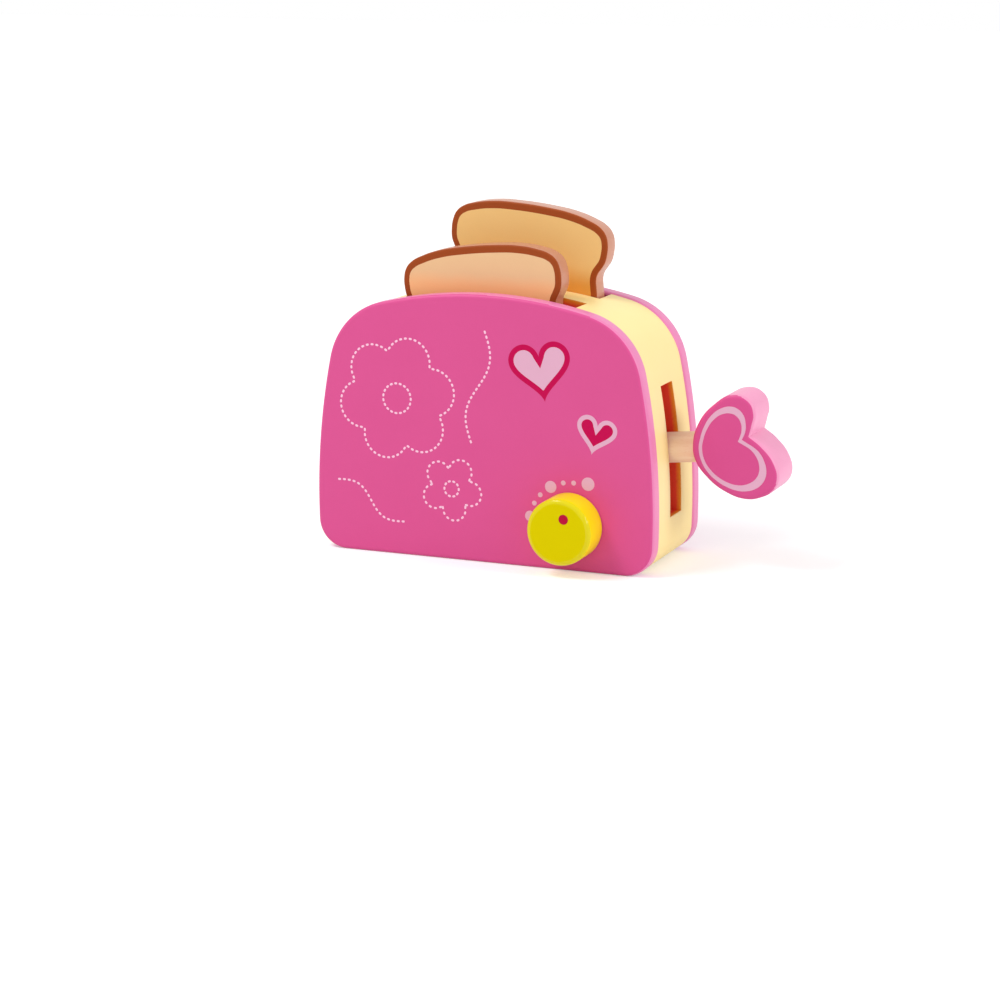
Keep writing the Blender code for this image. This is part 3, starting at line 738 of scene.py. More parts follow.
def fillet_rings(radius: float, steps: int) -> list[tuple[float, float]]:
    """Return (inset, depth) pairs of a quarter round, from the face to the side."""
    return [(radius * (1 - sin(pi / 2 * i / steps)), radius * (1 - cos(pi / 2 * i / steps)))
            for i in range(steps + 1)]


@dataclass
class Loft:
    """A closed body that faces the front, built ring by ring from its front cap to its back cap."""

    rings: list[list[Vector]] = field(default_factory=list)
    tones: list[int] = field(default_factory=list)
    edges: list[float] = field(default_factory=list)

    def ring(self, outline: Sequence[Point], y: float, tone: int, edge: float = 0.0) -> None:
        """Add a ring of points.

        Args:
            outline: The ring's points in X and Z.
            y: The ring's depth.
            tone: The number of the material between this ring and the one before, or of the front cap.
            edge: How far the ring lies on a rounded edge, 0 to 1, for wear.
        """
        self.rings.append([Vector((x, y, z)) for x, z in outline])
        self.tones.append(tone)
        self.edges.append(edge)

    def build(self, name: str, materials: Sequence[bpy.types.Material],
              back_tone: int = 0) -> bpy.types.Object:
        """Join the rings into a closed mesh.

        Args:
            name: The piece's name.
            materials: The materials that the tones number.
            back_tone: The number of the back cap's material.

        Returns:
            The new object, at the origin.
        """
        work = bmesh.new()
        share = work.verts.layers.float.new("edge")
        loops = []
        for points, edge in zip(self.rings, self.edges):
            loop = [work.verts.new(point) for point in points]
            for vertex in loop:
                vertex[share] = edge
            loops.append(loop)
        work.faces.new(loops[0]).material_index = self.tones[0]
        for number in range(1, len(loops)):
            above, below = loops[number - 1], loops[number]
            for i in range(len(below)):
                j = (i + 1) % len(below)
                face = work.faces.new((above[i], below[i], below[j], above[j]))
                face.material_index = self.tones[number]
        work.faces.new(list(reversed(loops[-1]))).material_index = back_tone
        bmesh.ops.recalc_face_normals(work, faces=work.faces)
        return piece_from(work, name, materials)


def piece_from(work: bmesh.types.BMesh, name: str,
               materials: Sequence[bpy.types.Material]) -> bpy.types.Object:
    """Turn a finished bmesh into a smooth-shaded object at the origin and free it."""
    mesh = bpy.data.meshes.new(name)
    work.to_mesh(mesh)
    work.free()
    for material in materials:
        mesh.materials.append(material)
    piece = bpy.data.objects.new(name, mesh)
    bpy.context.scene.collection.objects.link(piece)
    mesh.shade_smooth()
    mesh.set_sharp_from_angle(angle=radians(32))
    return piece


def baked(piece: bpy.types.Object) -> bpy.types.Object:
    """Turn an object's modifiers, or a curve, into a plain mesh of the same name."""
    bpy.context.view_layer.update()
    mesh = bpy.data.meshes.new_from_object(piece.evaluated_get(bpy.context.evaluated_depsgraph_get()))
    name = piece.name
    bpy.data.objects.remove(piece, do_unlink=True)
    mesh.name = name
    plain = bpy.data.objects.new(name, mesh)
    bpy.context.scene.collection.objects.link(plain)
    return plain


def welded(piece: bpy.types.Object) -> bpy.types.Object:
    """Merge a mesh's doubles and turn its faces outwards."""
    work = bmesh.new()
    work.from_mesh(piece.data)
    bmesh.ops.remove_doubles(work, verts=work.verts, dist=WELD)
    bmesh.ops.recalc_face_normals(work, faces=work.faces)
    work.to_mesh(piece.data)
    work.free()
    return piece


def take_out(piece: bpy.types.Object, cutters: Sequence[bpy.types.Object]) -> bpy.types.Object:
    """Cut shapes out of a piece and remove the cutters."""
    for cutter in cutters:
        step = piece.modifiers.new(cutter.name, "BOOLEAN")
        step.operation = "DIFFERENCE"
        step.solver = "EXACT"
        step.object = cutter
    made = baked(piece)
    for cutter in cutters:
        bpy.data.objects.remove(cutter, do_unlink=True)
    made.data.shade_smooth()
    made.data.set_sharp_from_angle(angle=radians(32))
    return made


@dataclass(frozen=True)
class PaintLap:
    """How far a face's paint laps over its rounded rim, as an angle from the face."""

    narrow_way: Point
    widest: float = radians(66)
    narrowest: float = radians(38)
    turn: float = 0.4

    def paint(self, piece: bpy.types.Object, outer: Sequence[int]) -> None:
        """Give the lapped part of the rim the face's paint, the piece's first one.

        Args:
            piece: The piece, whose second material is its rim's.
            outer: The signs in Y of the faces that are painted so.
        """
        aim = Vector(self.narrow_way).normalized()
        for polygon in piece.data.polygons:
            away = Vector((polygon.normal.x, polygon.normal.z))
            if away.length < 0.02 or not any(polygon.normal.y * sign > 0.05 for sign in outer):
                continue
            share = max(0.0, min(1.0, away.normalized().dot(aim) / self.turn))
            lap = self.widest + (self.narrowest - self.widest) * share
            polygon.material_index = 0 if atan2(away.length, abs(polygon.normal.y)) < lap else 1


def block_cutter(name: str, low: Sequence[float], high: Sequence[float], corner: float) -> bpy.types.Object:
    """Return a cutting block between two corners, its edges along Y rounded as a router leaves them."""
    work = bmesh.new()
    bmesh.ops.create_cube(work, size=1)
    size = Vector(high) - Vector(low)
    middle = (Vector(high) + Vector(low)) / 2
    place = Matrix.Translation(middle) @ Matrix.Diagonal((*size, 1))
    bmesh.ops.transform(work, matrix=place, verts=work.verts)
    along_y = [edge for edge in work.edges
               if abs(edge.verts[0].co.y - edge.verts[1].co.y) > size.y / 2]
    bmesh.ops.bevel(work, geom=along_y, offset=corner, offset_type="OFFSET", segments=8, profile=0.5,
                    affect="EDGES")
    return piece_from(work, name, ())


def rod_cutter(name: str, radius: float, start: Sequence[float], end: Sequence[float]) -> bpy.types.Object:
    """Return a round cutter that runs from one point to another."""
    first, last = Vector(start), Vector(end)
    along = last - first
    work = bmesh.new()
    bmesh.ops.create_cone(work, cap_ends=True, segments=48, radius1=radius, radius2=radius,
                          depth=along.length)
    turn = along.to_track_quat("Z", "Y").to_matrix().to_4x4()
    bmesh.ops.transform(work, matrix=Matrix.Translation((first + last) / 2) @ turn, verts=work.verts)
    return piece_from(work, name, ())


def turned(name: str, profile: Sequence[Point], place: Matrix, materials: Sequence[bpy.types.Material],
           tones: Sequence[int] = (), steps: int = 96) -> bpy.types.Object:
    """Turn a closed round piece from a profile.

    Args:
        name: The piece's name.
        profile: (radius, length) points from one end of the axis to the other.
        place: Where the profile's axis, its local Z, goes.
        materials: The piece's materials.
        tones: The material number of each stretch of the profile, or nothing for the first.
        steps: The number of sides.

    Returns:
        The new object, at the origin.
    """
    work = bmesh.new()
    loops: list[list[bmesh.types.BMVert]] = []
    for radius, length in profile:
        count = steps if radius > WELD else 1
        loops.append([work.verts.new(place @ Vector((radius * cos(2 * pi * i / steps),
                                                     radius * sin(2 * pi * i / steps), length)))
                      for i in range(count)])
    for number, (first, second) in enumerate(zip(loops, loops[1:])):
        for i in range(steps):
            j = (i + 1) % steps
            corners = [first[i % len(first)], first[j % len(first)], second[j % len(second)],
                       second[i % len(second)]]
            face = work.faces.new(list(dict.fromkeys(corners)))
            face.material_index = tones[number] if tones else 0
    bmesh.ops.recalc_face_normals(work, faces=work.faces)
    return piece_from(work, name, materials)


def film(name: str, loops: Sequence[Sequence[Point]], face_y: float, proud: float,
         material: bpy.types.Material) -> bpy.types.Object:
    """Lay a thin printed shape on a face that looks to the front.

    Args:
        name: The print's name.
        loops: Its outer outline, and any inner ones, which leave holes.
        face_y: The depth of the face.
        proud: How far the print stands proud of the face.
        material: The print's paint.

    Returns:
        The new object, at the origin.
    """
    root = 2 * proud
    data = bpy.data.curves.new(name, "CURVE")
    data.dimensions = "2D"
    data.fill_mode = "BOTH"
    data.extrude = (proud + root) / 2
    for loop in loops:
        spline = data.splines.new("POLY")
        spline.points.add(len(loop) - 1)
        for knot, (x, z) in zip(spline.points, loop):
            knot.co = (x, z, 0, 1)
        spline.use_cyclic_u = True
    holder = bpy.data.objects.new(name, data)
    bpy.context.scene.collection.objects.link(holder)
    piece = welded(baked(holder))
    piece.data.transform(Matrix.Translation((0, face_y + (root - proud) / 2, 0)) @ FACING_FRONT)
    piece.data.materials.clear()
    piece.data.materials.append(material)
    piece.data.shade_flat()
    return piece


def heart_outline(width: float, centre: Point, tilt: float, steps: int = 240) -> list[Point]:
    """Return a plain symmetric heart, the textbook curve, counter-clockwise.

    Args:
        width: Its width.
        centre: The middle of its width and height.
        tilt: Its turn about the centre, counter-clockwise.
        steps: The number of points.

    Returns:
        The outline's points.
    """
    unit = width / 32
    points = []
    for i in range(steps):
        t = -2 * pi * i / steps
        x = 16 * sin(t) ** 3
        z = 13 * cos(t) - 5 * cos(2 * t) - 2 * cos(3 * t) - cos(4 * t) + 2.5
        points.append((centre[0] + unit * (x * cos(tilt) - z * sin(tilt)),
                       centre[1] + unit * (x * sin(tilt) + z * cos(tilt))))
    return points


class GeometryTree(NodeSheet):
    """A Geometry Nodes tree with named inputs, whose result becomes a plain mesh."""

    def __init__(self, name: str, sizes: dict[str, float]) -> None:
        """Start the tree.

        Args:
            name: The tree's name.
            sizes: Its named inputs with their values.
        """
        tree = bpy.data.node_groups.new(name, "GeometryNodeTree")
        tree.is_modifier = True
        tree.interface.new_socket("Geometry", in_out="INPUT", socket_type="NodeSocketGeometry")
        self.keys: dict[str, str] = {}
        for label, value in sizes.items():
            kind = "NodeSocketInt" if isinstance(value, int) else "NodeSocketFloat"
            self.keys[label] = tree.interface.new_socket(label, in_out="INPUT", socket_type=kind).identifier
        tree.interface.new_socket("Geometry", in_out="OUTPUT", socket_type="NodeSocketGeometry")
        super().__init__(tree)
        self.sizes = sizes
        self.given = self.add("NodeGroupInput")
        self.made = self.add("NodeGroupOutput")

    def slab(self, outline: bpy.types.NodeSocket, thickness: bpy.types.NodeSocket) -> bpy.types.NodeSocket:
        """Return a closed slab on a flat closed curve."""
        filled = self.add("GeometryNodeFillCurve", {"Curve": outline}, mode="NGONS").outputs[0]
        raised = self.add("GeometryNodeExtrudeMesh", {"Mesh": filled, "Offset Scale": thickness,
                                                      "Individual": False}).outputs[0]
        under = self.add("GeometryNodeFlipFaces", {"Mesh": filled}).outputs[0]
        both = self.add("GeometryNodeJoinGeometry")
        for part in (raised, under):
            self.tree.links.new(part, both.inputs[0])
        inputs = {"Geometry": both.outputs[0], "Distance": WELD}
        return self.add("GeometryNodeMergeByDistance", inputs).outputs[0]

    def finish(self, instances: bpy.types.NodeSocket, material: bpy.types.Material) -> None:
        """Make the instances real, give them their material and end the tree."""
        real = self.add("GeometryNodeRealizeInstances", {"Geometry": instances}).outputs[0]
        painted = self.add("GeometryNodeSetMaterial", {"Geometry": real, "Material": material}).outputs[0]
        self.tree.links.new(painted, self.made.inputs[0])

    def run(self, name: str, source: bpy.types.Object, material: bpy.types.Material,
            place: Matrix) -> bpy.types.Object:
        """Run the tree on an object and keep the result as a plain mesh.

        Args:
            name: The name of the new piece.
            source: The object that the tree reads, which is removed.
            material: The piece's material.
            place: Where the flat result goes.

        Returns:
            The new object, at the origin.
        """
        step = source.modifiers.new(name, "NODES")
        step.node_group = self.tree
        for label, key in self.keys.items():
            step[key] = self.sizes[label]
        source.name = name
        piece = baked(source)
        piece.data.transform(place)
        piece.data.materials.clear()
        piece.data.materials.append(material)
        piece.data.shade_flat()
        return piece


def path_object(paths: Sequence[Sequence[Point]]) -> bpy.types.Object:
    """Return a flat curve object of open or closed paths, a path being closed where its ends meet."""
    data = bpy.data.curves.new("paths", "CURVE")
    data.dimensions = "3D"
    for path in paths:
        closed = hypot(path[0][0] - path[-1][0], path[0][1] - path[-1][1]) < WELD
        points = path[:-1] if closed else path
        spline = data.splines.new("POLY")
        spline.points.add(len(points) - 1)
        for knot, (x, z) in zip(spline.points, points):
            knot.co = (x, z, 0, 1)
        spline.use_cyclic_u = closed
    holder = bpy.data.objects.new("paths", data)
    bpy.context.scene.collection.objects.link(holder)
    return holder


@dataclass
class Housing:
    """The two painted panels and the core between them, whose paint hides its layers."""

    paints: Paints
    edge_round: float = 2.0 * MM
    round_steps: int = 9
    lap: PaintLap = PaintLap((1.0, 0.0))
    core_inset: float = 0.7 * MM
    core_gap: float = 0.02 * MM
    face_rest: float = 0.6 * MM
    mouth_round: float = 0.7 * MM
    pocket_corner: float = 5.0 * MM
    channel_corner: float = 3.0 * MM
    clearance: float = 0.3 * MM
    overrun: float = 5.0 * MM
    pocket_floor: float = 42.0 * MM
    pocket_left: float = -52.0 * MM
    pocket_right: float = 47.5 * MM
    channel_low: float = 26.5 * MM
    channel_high: float = 95.0 * MM
    well_top: float = 113.5 * MM
    cutter_lap: float = 0.05 * MM
    recess_depth: float = 6.0 * MM
    recess_radius: float = 12.0 * MM

    def __post_init__(self) -> None:
        """Read the depth of the boards from the frame."""
        low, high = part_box("front_panel")
        self.height = high.z
        self.half_width = high.x
        self.front_y, self.panel_inner_y = low.y, high.y

    def panel(self, name: str, near_y: float, far_y: float, front: bool) -> bpy.types.Object:
        """Return one panel with finely rounded rims.

        Args:
            name: The piece's name.
            near_y: The depth of its nearer face.
            far_y: The depth of its further face.
            front: Whether its outer face is the nearer one; the face paint laps a little over its rim.

        Returns:
            The new object, at the origin.
        """
        loft = Loft()
        rounds = fillet_rings(self.edge_round, self.round_steps)
        face, edge = 0, 1
        loft.ring(Shape.outline(self.edge_round + self.face_rest), near_y, face)
        loft.ring(Shape.outline(self.edge_round), near_y, face)
        for moved_in, depth in rounds[1:]:
            loft.ring(Shape.outline(moved_in), near_y + depth, edge, 1 - moved_in / self.edge_round * 0.5)
        loft.ring(Shape.outline(0.0), far_y - rounds[-1][1], edge, 1.0)
        for moved_in, depth in reversed(rounds[:-1]):
            loft.ring(Shape.outline(moved_in), far_y - depth, edge, 1 - moved_in / self.edge_round * 0.5)
        loft.ring(Shape.outline(self.edge_round + self.face_rest), far_y, face)
        panel = loft.build(name, (self.paints.pink, self.paints.pink_edge), face)
        self.lap.paint(panel, (-1,) if front else (1,))
        return panel

    def core(self) -> bpy.types.Object:
        """Return the core with its pockets, lever channel and lift well."""
        half_depth = -self.panel_inner_y - self.core_gap
        outer = Shape.outline(self.core_inset, on_table=True)
        loft = Loft()
        loft.ring(outer, -half_depth, 0)
        loft.ring(outer, half_depth, 0)
        core = loft.build("core", (self.paints.yellow, self.paints.inside))
        core = take_out(core, self.core_cutters(half_depth))
        return self.round_mouths(core, outer)

    def core_cutters(self, half_depth: float) -> list[bpy.types.Object]:
        """Return the cutters of the pockets, the lever channel, the well and the knob's recess."""
        layer_y = (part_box("front_slot_layer")[1].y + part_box("centre_layer")[0].y) / 2
        reach = half_depth + self.overrun
        top = self.height + self.overrun
        wall_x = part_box("lift_block")[1].x + self.clearance
        right = self.half_width + self.overrun
        side_y = -layer_y + self.cutter_lap
        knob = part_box("knob")
        knob_x, knob_z = (knob[0].x + knob[1].x) / 2, (knob[0].z + knob[1].z) / 2
        return [
            block_cutter("front_pocket", (self.pocket_left, -reach, self.pocket_floor),
                         (self.pocket_right, layer_y, top), self.pocket_corner),
            block_cutter("rear_pocket", (self.pocket_left, -layer_y, self.pocket_floor),
                         (self.pocket_right, reach, top), self.pocket_corner),
            block_cutter("channel", (-wall_x, -side_y, self.channel_low),
                         (right, side_y, self.channel_high), self.channel_corner),
            block_cutter("well", (-wall_x, -side_y, self.channel_high - 4 * self.channel_corner),
                         (wall_x, side_y, self.well_top), self.channel_corner),
            rod_cutter("recess", self.recess_radius, (knob_x, -reach, knob_z),
                       (knob_x, self.panel_inner_y + self.recess_depth, knob_z)),
        ]

    def round_mouths(self, core: bpy.types.Object, outer: Sequence[Point]) -> bpy.types.Object:
        """Round the mouths of the pockets and the channel, and give what lies inside them the painted
        shade.

        Args:
            core: The cut core.
            outer: Its outer outline.

        Returns:
            The same object.
        """
        def depth_below(x: float, z: float) -> float:
            """Return how far a point lies inside the outer outline."""
            best = 1.0
            for (ax, az), (bx, bz) in zip(outer, list(outer[1:]) + [outer[0]]):
                along = Vector((bx - ax, bz - az))
                share = max(0.0, min(1.0, Vector((x - ax, z - az)).dot(along) / along.length_squared))
                best = min(best, hypot(x - ax - along.x * share, z - az - along.y * share))
            return best

        work = bmesh.new()
        work.from_mesh(core.data)
        bmesh.ops.remove_doubles(work, verts=work.verts, dist=WELD)
        bmesh.ops.dissolve_degenerate(work, dist=0.01 * MM, edges=work.edges)
        skin = 0.03 * MM
        rim_y = -self.panel_inner_y - 2 * self.core_gap
        mouth = []
        for edge in work.edges:
            if len(edge.link_faces) != 2 or edge.calc_face_angle(0) < radians(50):
                continue
            ends = [vertex.co for vertex in edge.verts]
            if all(abs(co.y) > rim_y for co in ends):
                continue
            if all(depth_below(co.x, co.z) < skin for co in ends):
                mouth.append(edge)
        bmesh.ops.bevel(work, geom=mouth, offset=self.mouth_round, offset_type="OFFSET", segments=4,
                        profile=0.5, affect="EDGES", clamp_overlap=True)
        # faces inside the cuts get the painted recess shade
        for face in work.faces:
            middle = face.calc_center_median()
            inner = depth_below(middle.x, middle.z) > self.mouth_round * 1.02 and abs(middle.y) < rim_y
            face.material_index = 1 if inner else 0
        bmesh.ops.recalc_face_normals(work, faces=work.faces)
        work.to_mesh(core.data)
        work.free()
        core.data.shade_smooth()
        core.data.set_sharp_from_angle(angle=radians(30))
        return core

    def build(self) -> None:
        """Build both panels and the core and put them on the housing."""
        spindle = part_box("knob_spindle")
        place = ((spindle[0].x + spindle[1].x) / 2, (spindle[0].z + spindle[1].z) / 2)
        radius = (spindle[1].x - spindle[0].x) / 2 + self.clearance
        front = self.panel("front_panel_painted", self.front_y, self.panel_inner_y, True)
        drill = rod_cutter("spindle_drill", radius, (place[0], self.front_y - self.overrun, place[1]),
                           (place[0], self.panel_inner_y + self.overrun, place[1]))
        front = take_out(front, [drill])
        rear = self.panel("rear_panel_painted", -self.panel_inner_y, -self.front_y, False)
        mount(front, Body.HOUSING, Slot.PINK, "front_panel")
        mount(rear, Body.HOUSING, Slot.PINK, "rear_panel")
        mount(self.core(), Body.HOUSING, Slot.YELLOW, "front_slot_layer", "centre_layer", "rear_slot_layer")


def mount(piece: bpy.types.Object, body: Body, slot: Slot, *nodes: str) -> bpy.types.Object:
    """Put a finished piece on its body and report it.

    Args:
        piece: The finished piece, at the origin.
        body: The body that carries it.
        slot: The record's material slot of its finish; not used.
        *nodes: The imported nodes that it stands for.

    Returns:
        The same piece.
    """
    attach(piece, body.value)
    if nodes:
        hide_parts(*nodes)
    LOG.info("%s: %d faces on %s", piece.name, len(piece.data.polygons), body.value)
    return piece


@dataclass
class FrontPrint:
    """The flush print on the front panel: dashed flowers and waves, plain hearts and the dial's dots."""

    paints: Paints
    proud: float = 0.05 * MM
    dash_pitch: float = 2.7 * MM
    dash_length: float = 1.75 * MM
    dash_width: float = 1.15 * MM
    large_flower: Point = (-48.0 * MM, 84.0 * MM)
    large_flower_radius: float = 33.0 * MM
    small_flower: Point = (-17.0 * MM, 38.0 * MM)
    small_flower_radius: float = 17.0 * MM
    petal_place_share: float = 0.62
    petal_radius_share: float = 0.38
    eye_radius_share: float = 0.24
    wave_height: float = 4.0 * MM
    low_wave: tuple[Point, Point] = ((-82 * MM, 38 * MM), (-45 * MM, 18 * MM))
    tall_wave: tuple[Point, Point] = ((-6 * MM, 64 * MM), (2 * MM, 122 * MM))
    large_heart: Point = (33.0 * MM, 103.0 * MM)
    large_heart_width: float = 34.0 * MM
    large_band: float = 2.9 * MM
    small_heart: Point = (63.0 * MM, 72.0 * MM)
    small_heart_width: float = 22.0 * MM
    small_band: float = 2.3 * MM
    dial_offset: Point = (0.5 * MM, -0.6 * MM)
    dial_radius: float = 23.2 * MM
    dial_last_radius: float = 24.9 * MM
    dial_start: float = 170.7
    wide_step: float = 18.4
    narrow_step: float = 14.1
    dial_dots: int = 7
    small_dot: float = 2.6 * MM
    first_large_dot: float = 5.6 * MM
    last_large_dot: float = 7.0 * MM

    def __post_init__(self) -> None:
        """Read the face and the knob's axis from the frame."""
        self.face_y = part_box("front_panel")[0].y
        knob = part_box("knob")
        self.knob_x, self.knob_z = (knob[0].x + knob[1].x) / 2, (knob[0].z + knob[1].z) / 2

    def flower(self, centre: Point, radius: float, petals: int, turn: float) -> list[list[Point]]:
        """Return the outline of a flower: one open arc per petal, with a round eye.

        Args:
            centre: The flower's centre.
            radius: How far its petals reach.
            petals: The number of its petals.
            turn: The direction of its first petal.

        Returns:
            The paths of its petals and of its eye.
        """
        place, petal = radius * self.petal_place_share, radius * self.petal_radius_share
        half = pi / petals
        meet = place * cos(half) + sqrt(petal ** 2 - (place * sin(half)) ** 2)
        reach = atan2(meet * sin(half), meet * cos(half) - place) - self.dash_pitch / 2 / petal
        paths = []
        for number in range(petals):
            angle = turn + 2 * half * number
            middle = (centre[0] + place * cos(angle), centre[1] + place * sin(angle))
            paths.append(arc(middle, petal, angle - reach, angle + reach, 40))
        paths.append(self.ring(centre, radius * self.eye_radius_share))
        return paths

    def ring(self, centre: Point, radius: float) -> list[Point]:
        """Return a closed circle."""
        round_path = arc(centre, radius, 0.0, 2 * pi, 60)
        return round_path + round_path[:1]

    def wave(self, start: Point, end: Point, height: float, waves: float) -> list[Point]:
        """Return a wavy line from one point to another."""
        along = Vector(end) - Vector(start)
        across = Vector((-along.y, along.x)).normalized()
        steps = int(40 * waves)
        path = []
        for i in range(steps + 1):
            share = i / steps
            point = Vector(start) + along * share + across * height * sin(2 * pi * waves * share)
            path.append((point.x, point.y))
        return path

    def dashes(self) -> bpy.types.Object:
        """Return the dashed ornament, one dash after the other along its paths."""
        sizes = {"Pitch": self.dash_pitch, "Length": self.dash_length, "Width": self.dash_width,
                 "Thickness": 3 * self.proud, "Corner Steps": 3}
        sheet = GeometryTree("dashed_lines", sizes)
        given = sheet.given.outputs
        points = sheet.add("GeometryNodeResampleCurve",
                           {"Curve": given["Geometry"], "Length": given["Pitch"]}, mode="LENGTH").outputs[0]
        plate = sheet.add("GeometryNodeCurvePrimitiveQuadrilateral",
                          {"Width": given["Length"], "Height": given["Width"]}, mode="RECTANGLE").outputs[0]
        corner = sheet.math("MULTIPLY", given["Width"], 0.45)
        rounded = sheet.add("GeometryNodeFilletCurve", {"Curve": plate, "Count": given["Corner Steps"],
                                                        "Radius": corner}, mode="POLY").outputs[0]
        dash = sheet.slab(rounded, given["Thickness"])
        tangent = sheet.add("GeometryNodeInputTangent").outputs[0]
        turn = sheet.add("FunctionNodeAlignRotationToVector", {"Vector": tangent}, axis="X",
                         pivot_axis="Z").outputs[0]
        placed = sheet.add("GeometryNodeInstanceOnPoints", {"Points": points, "Instance": dash,
                                                            "Rotation": turn}).outputs[0]
        sheet.finish(placed, self.paints.dash)
        paths = self.flower(self.large_flower, self.large_flower_radius, 6, radians(12))
        paths += self.flower(self.small_flower, self.small_flower_radius, 5, radians(-10))
        paths += [
            self.wave(*self.low_wave, self.wave_height, 1.0),
            self.wave(*self.tall_wave, self.wave_height * 1.2, 1.0),
        ]
        flat = Matrix.Translation((0, self.face_y + 2 * self.proud, 0)) @ FACING_FRONT
        return sheet.run("dashed_print", path_object(paths), self.paints.dash, flat)

    def dial(self) -> bpy.types.Object:
        """Return the dots round the knob, a larger one at every third place."""
        sizes = {"Count": self.dial_dots, "Small": self.small_dot / 2,
                 "First Large": self.first_large_dot / 2, "Last Large": self.last_large_dot / 2,
                 "Thickness": 3 * self.proud}
        sheet = GeometryTree("dial_dots", sizes)
        given = sheet.given.outputs
        points = sheet.add("GeometryNodeCurveToPoints", {"Curve": given["Geometry"]},
                           mode="EVALUATED").outputs[0]
        index = sheet.add("GeometryNodeInputIndex").outputs[0]
        last = sheet.math("SUBTRACT", given["Count"], 1.0)
        share = sheet.math("DIVIDE", index, last)
        growth = sheet.math("SUBTRACT", given["Last Large"], given["First Large"])
        large = sheet.math("ADD", given["First Large"], sheet.math("MULTIPLY", share, growth))
        beat = sheet.math("LESS_THAN", sheet.math("MODULO", sheet.math("ADD", index, 0.01), 3.0), 0.5)
        grown = sheet.math("MULTIPLY", beat, sheet.math("SUBTRACT", large, given["Small"]))
        radius = sheet.math("ADD", given["Small"], grown)
        circle = sheet.add("GeometryNodeCurvePrimitiveCircle", {"Resolution": 40, "Radius": 1.0},
                           mode="RADIUS").outputs[0]
        disc = sheet.slab(circle, given["Thickness"])
        scale = sheet.add("ShaderNodeCombineXYZ", {0: radius, 1: radius, 2: 1.0}).outputs[0]
        placed = sheet.add("GeometryNodeInstanceOnPoints", {"Points": points, "Instance": disc,
                                                            "Scale": scale}).outputs[0]
        sheet.finish(placed, self.paints.pale)
        path = []
        centre_x, centre_z = self.knob_x + self.dial_offset[0], self.knob_z + self.dial_offset[1]
        angle = radians(self.dial_start)
        for number in range(self.dial_dots):
            reach = self.dial_last_radius if number == self.dial_dots - 1 else self.dial_radius
            path.append((centre_x + reach * cos(angle), centre_z + reach * sin(angle)))
            angle -= radians(self.narrow_step if number % 3 == 1 else self.wide_step)
        flat = Matrix.Translation((0, self.face_y + 2 * self.proud, 0)) @ FACING_FRONT
        return sheet.run("dial_dots_print", path_object([path]), self.paints.pale, flat)

    def build(self) -> None:
        """Build the prints and put them on the housing."""
        mount(self.dashes(), Body.HOUSING, Slot.PINK)
        mount(self.dial(), Body.HOUSING, Slot.PINK)
        pale, crimson = self.paints.pale, self.paints.crimson
        upper = heart_outline(self.large_heart_width, self.large_heart, radians(9))
        lower = heart_outline(self.small_heart_width, self.small_heart, radians(-12))
        upper_fill = shrunk(upper, self.large_band)
        lower_fill = shrunk(lower, self.small_band)
        layers = [
            ("upper_heart_band", [upper, upper_fill], crimson),
            ("upper_heart_fill", [upper_fill], pale),
            ("lower_heart_band", [lower, lower_fill], pale),
            ("lower_heart_fill", [lower_fill], crimson),
        ]
        for name, loops, material in layers:
            mount(film(name, loops, self.face_y, self.proud, material), Body.HOUSING, Slot.PINK)


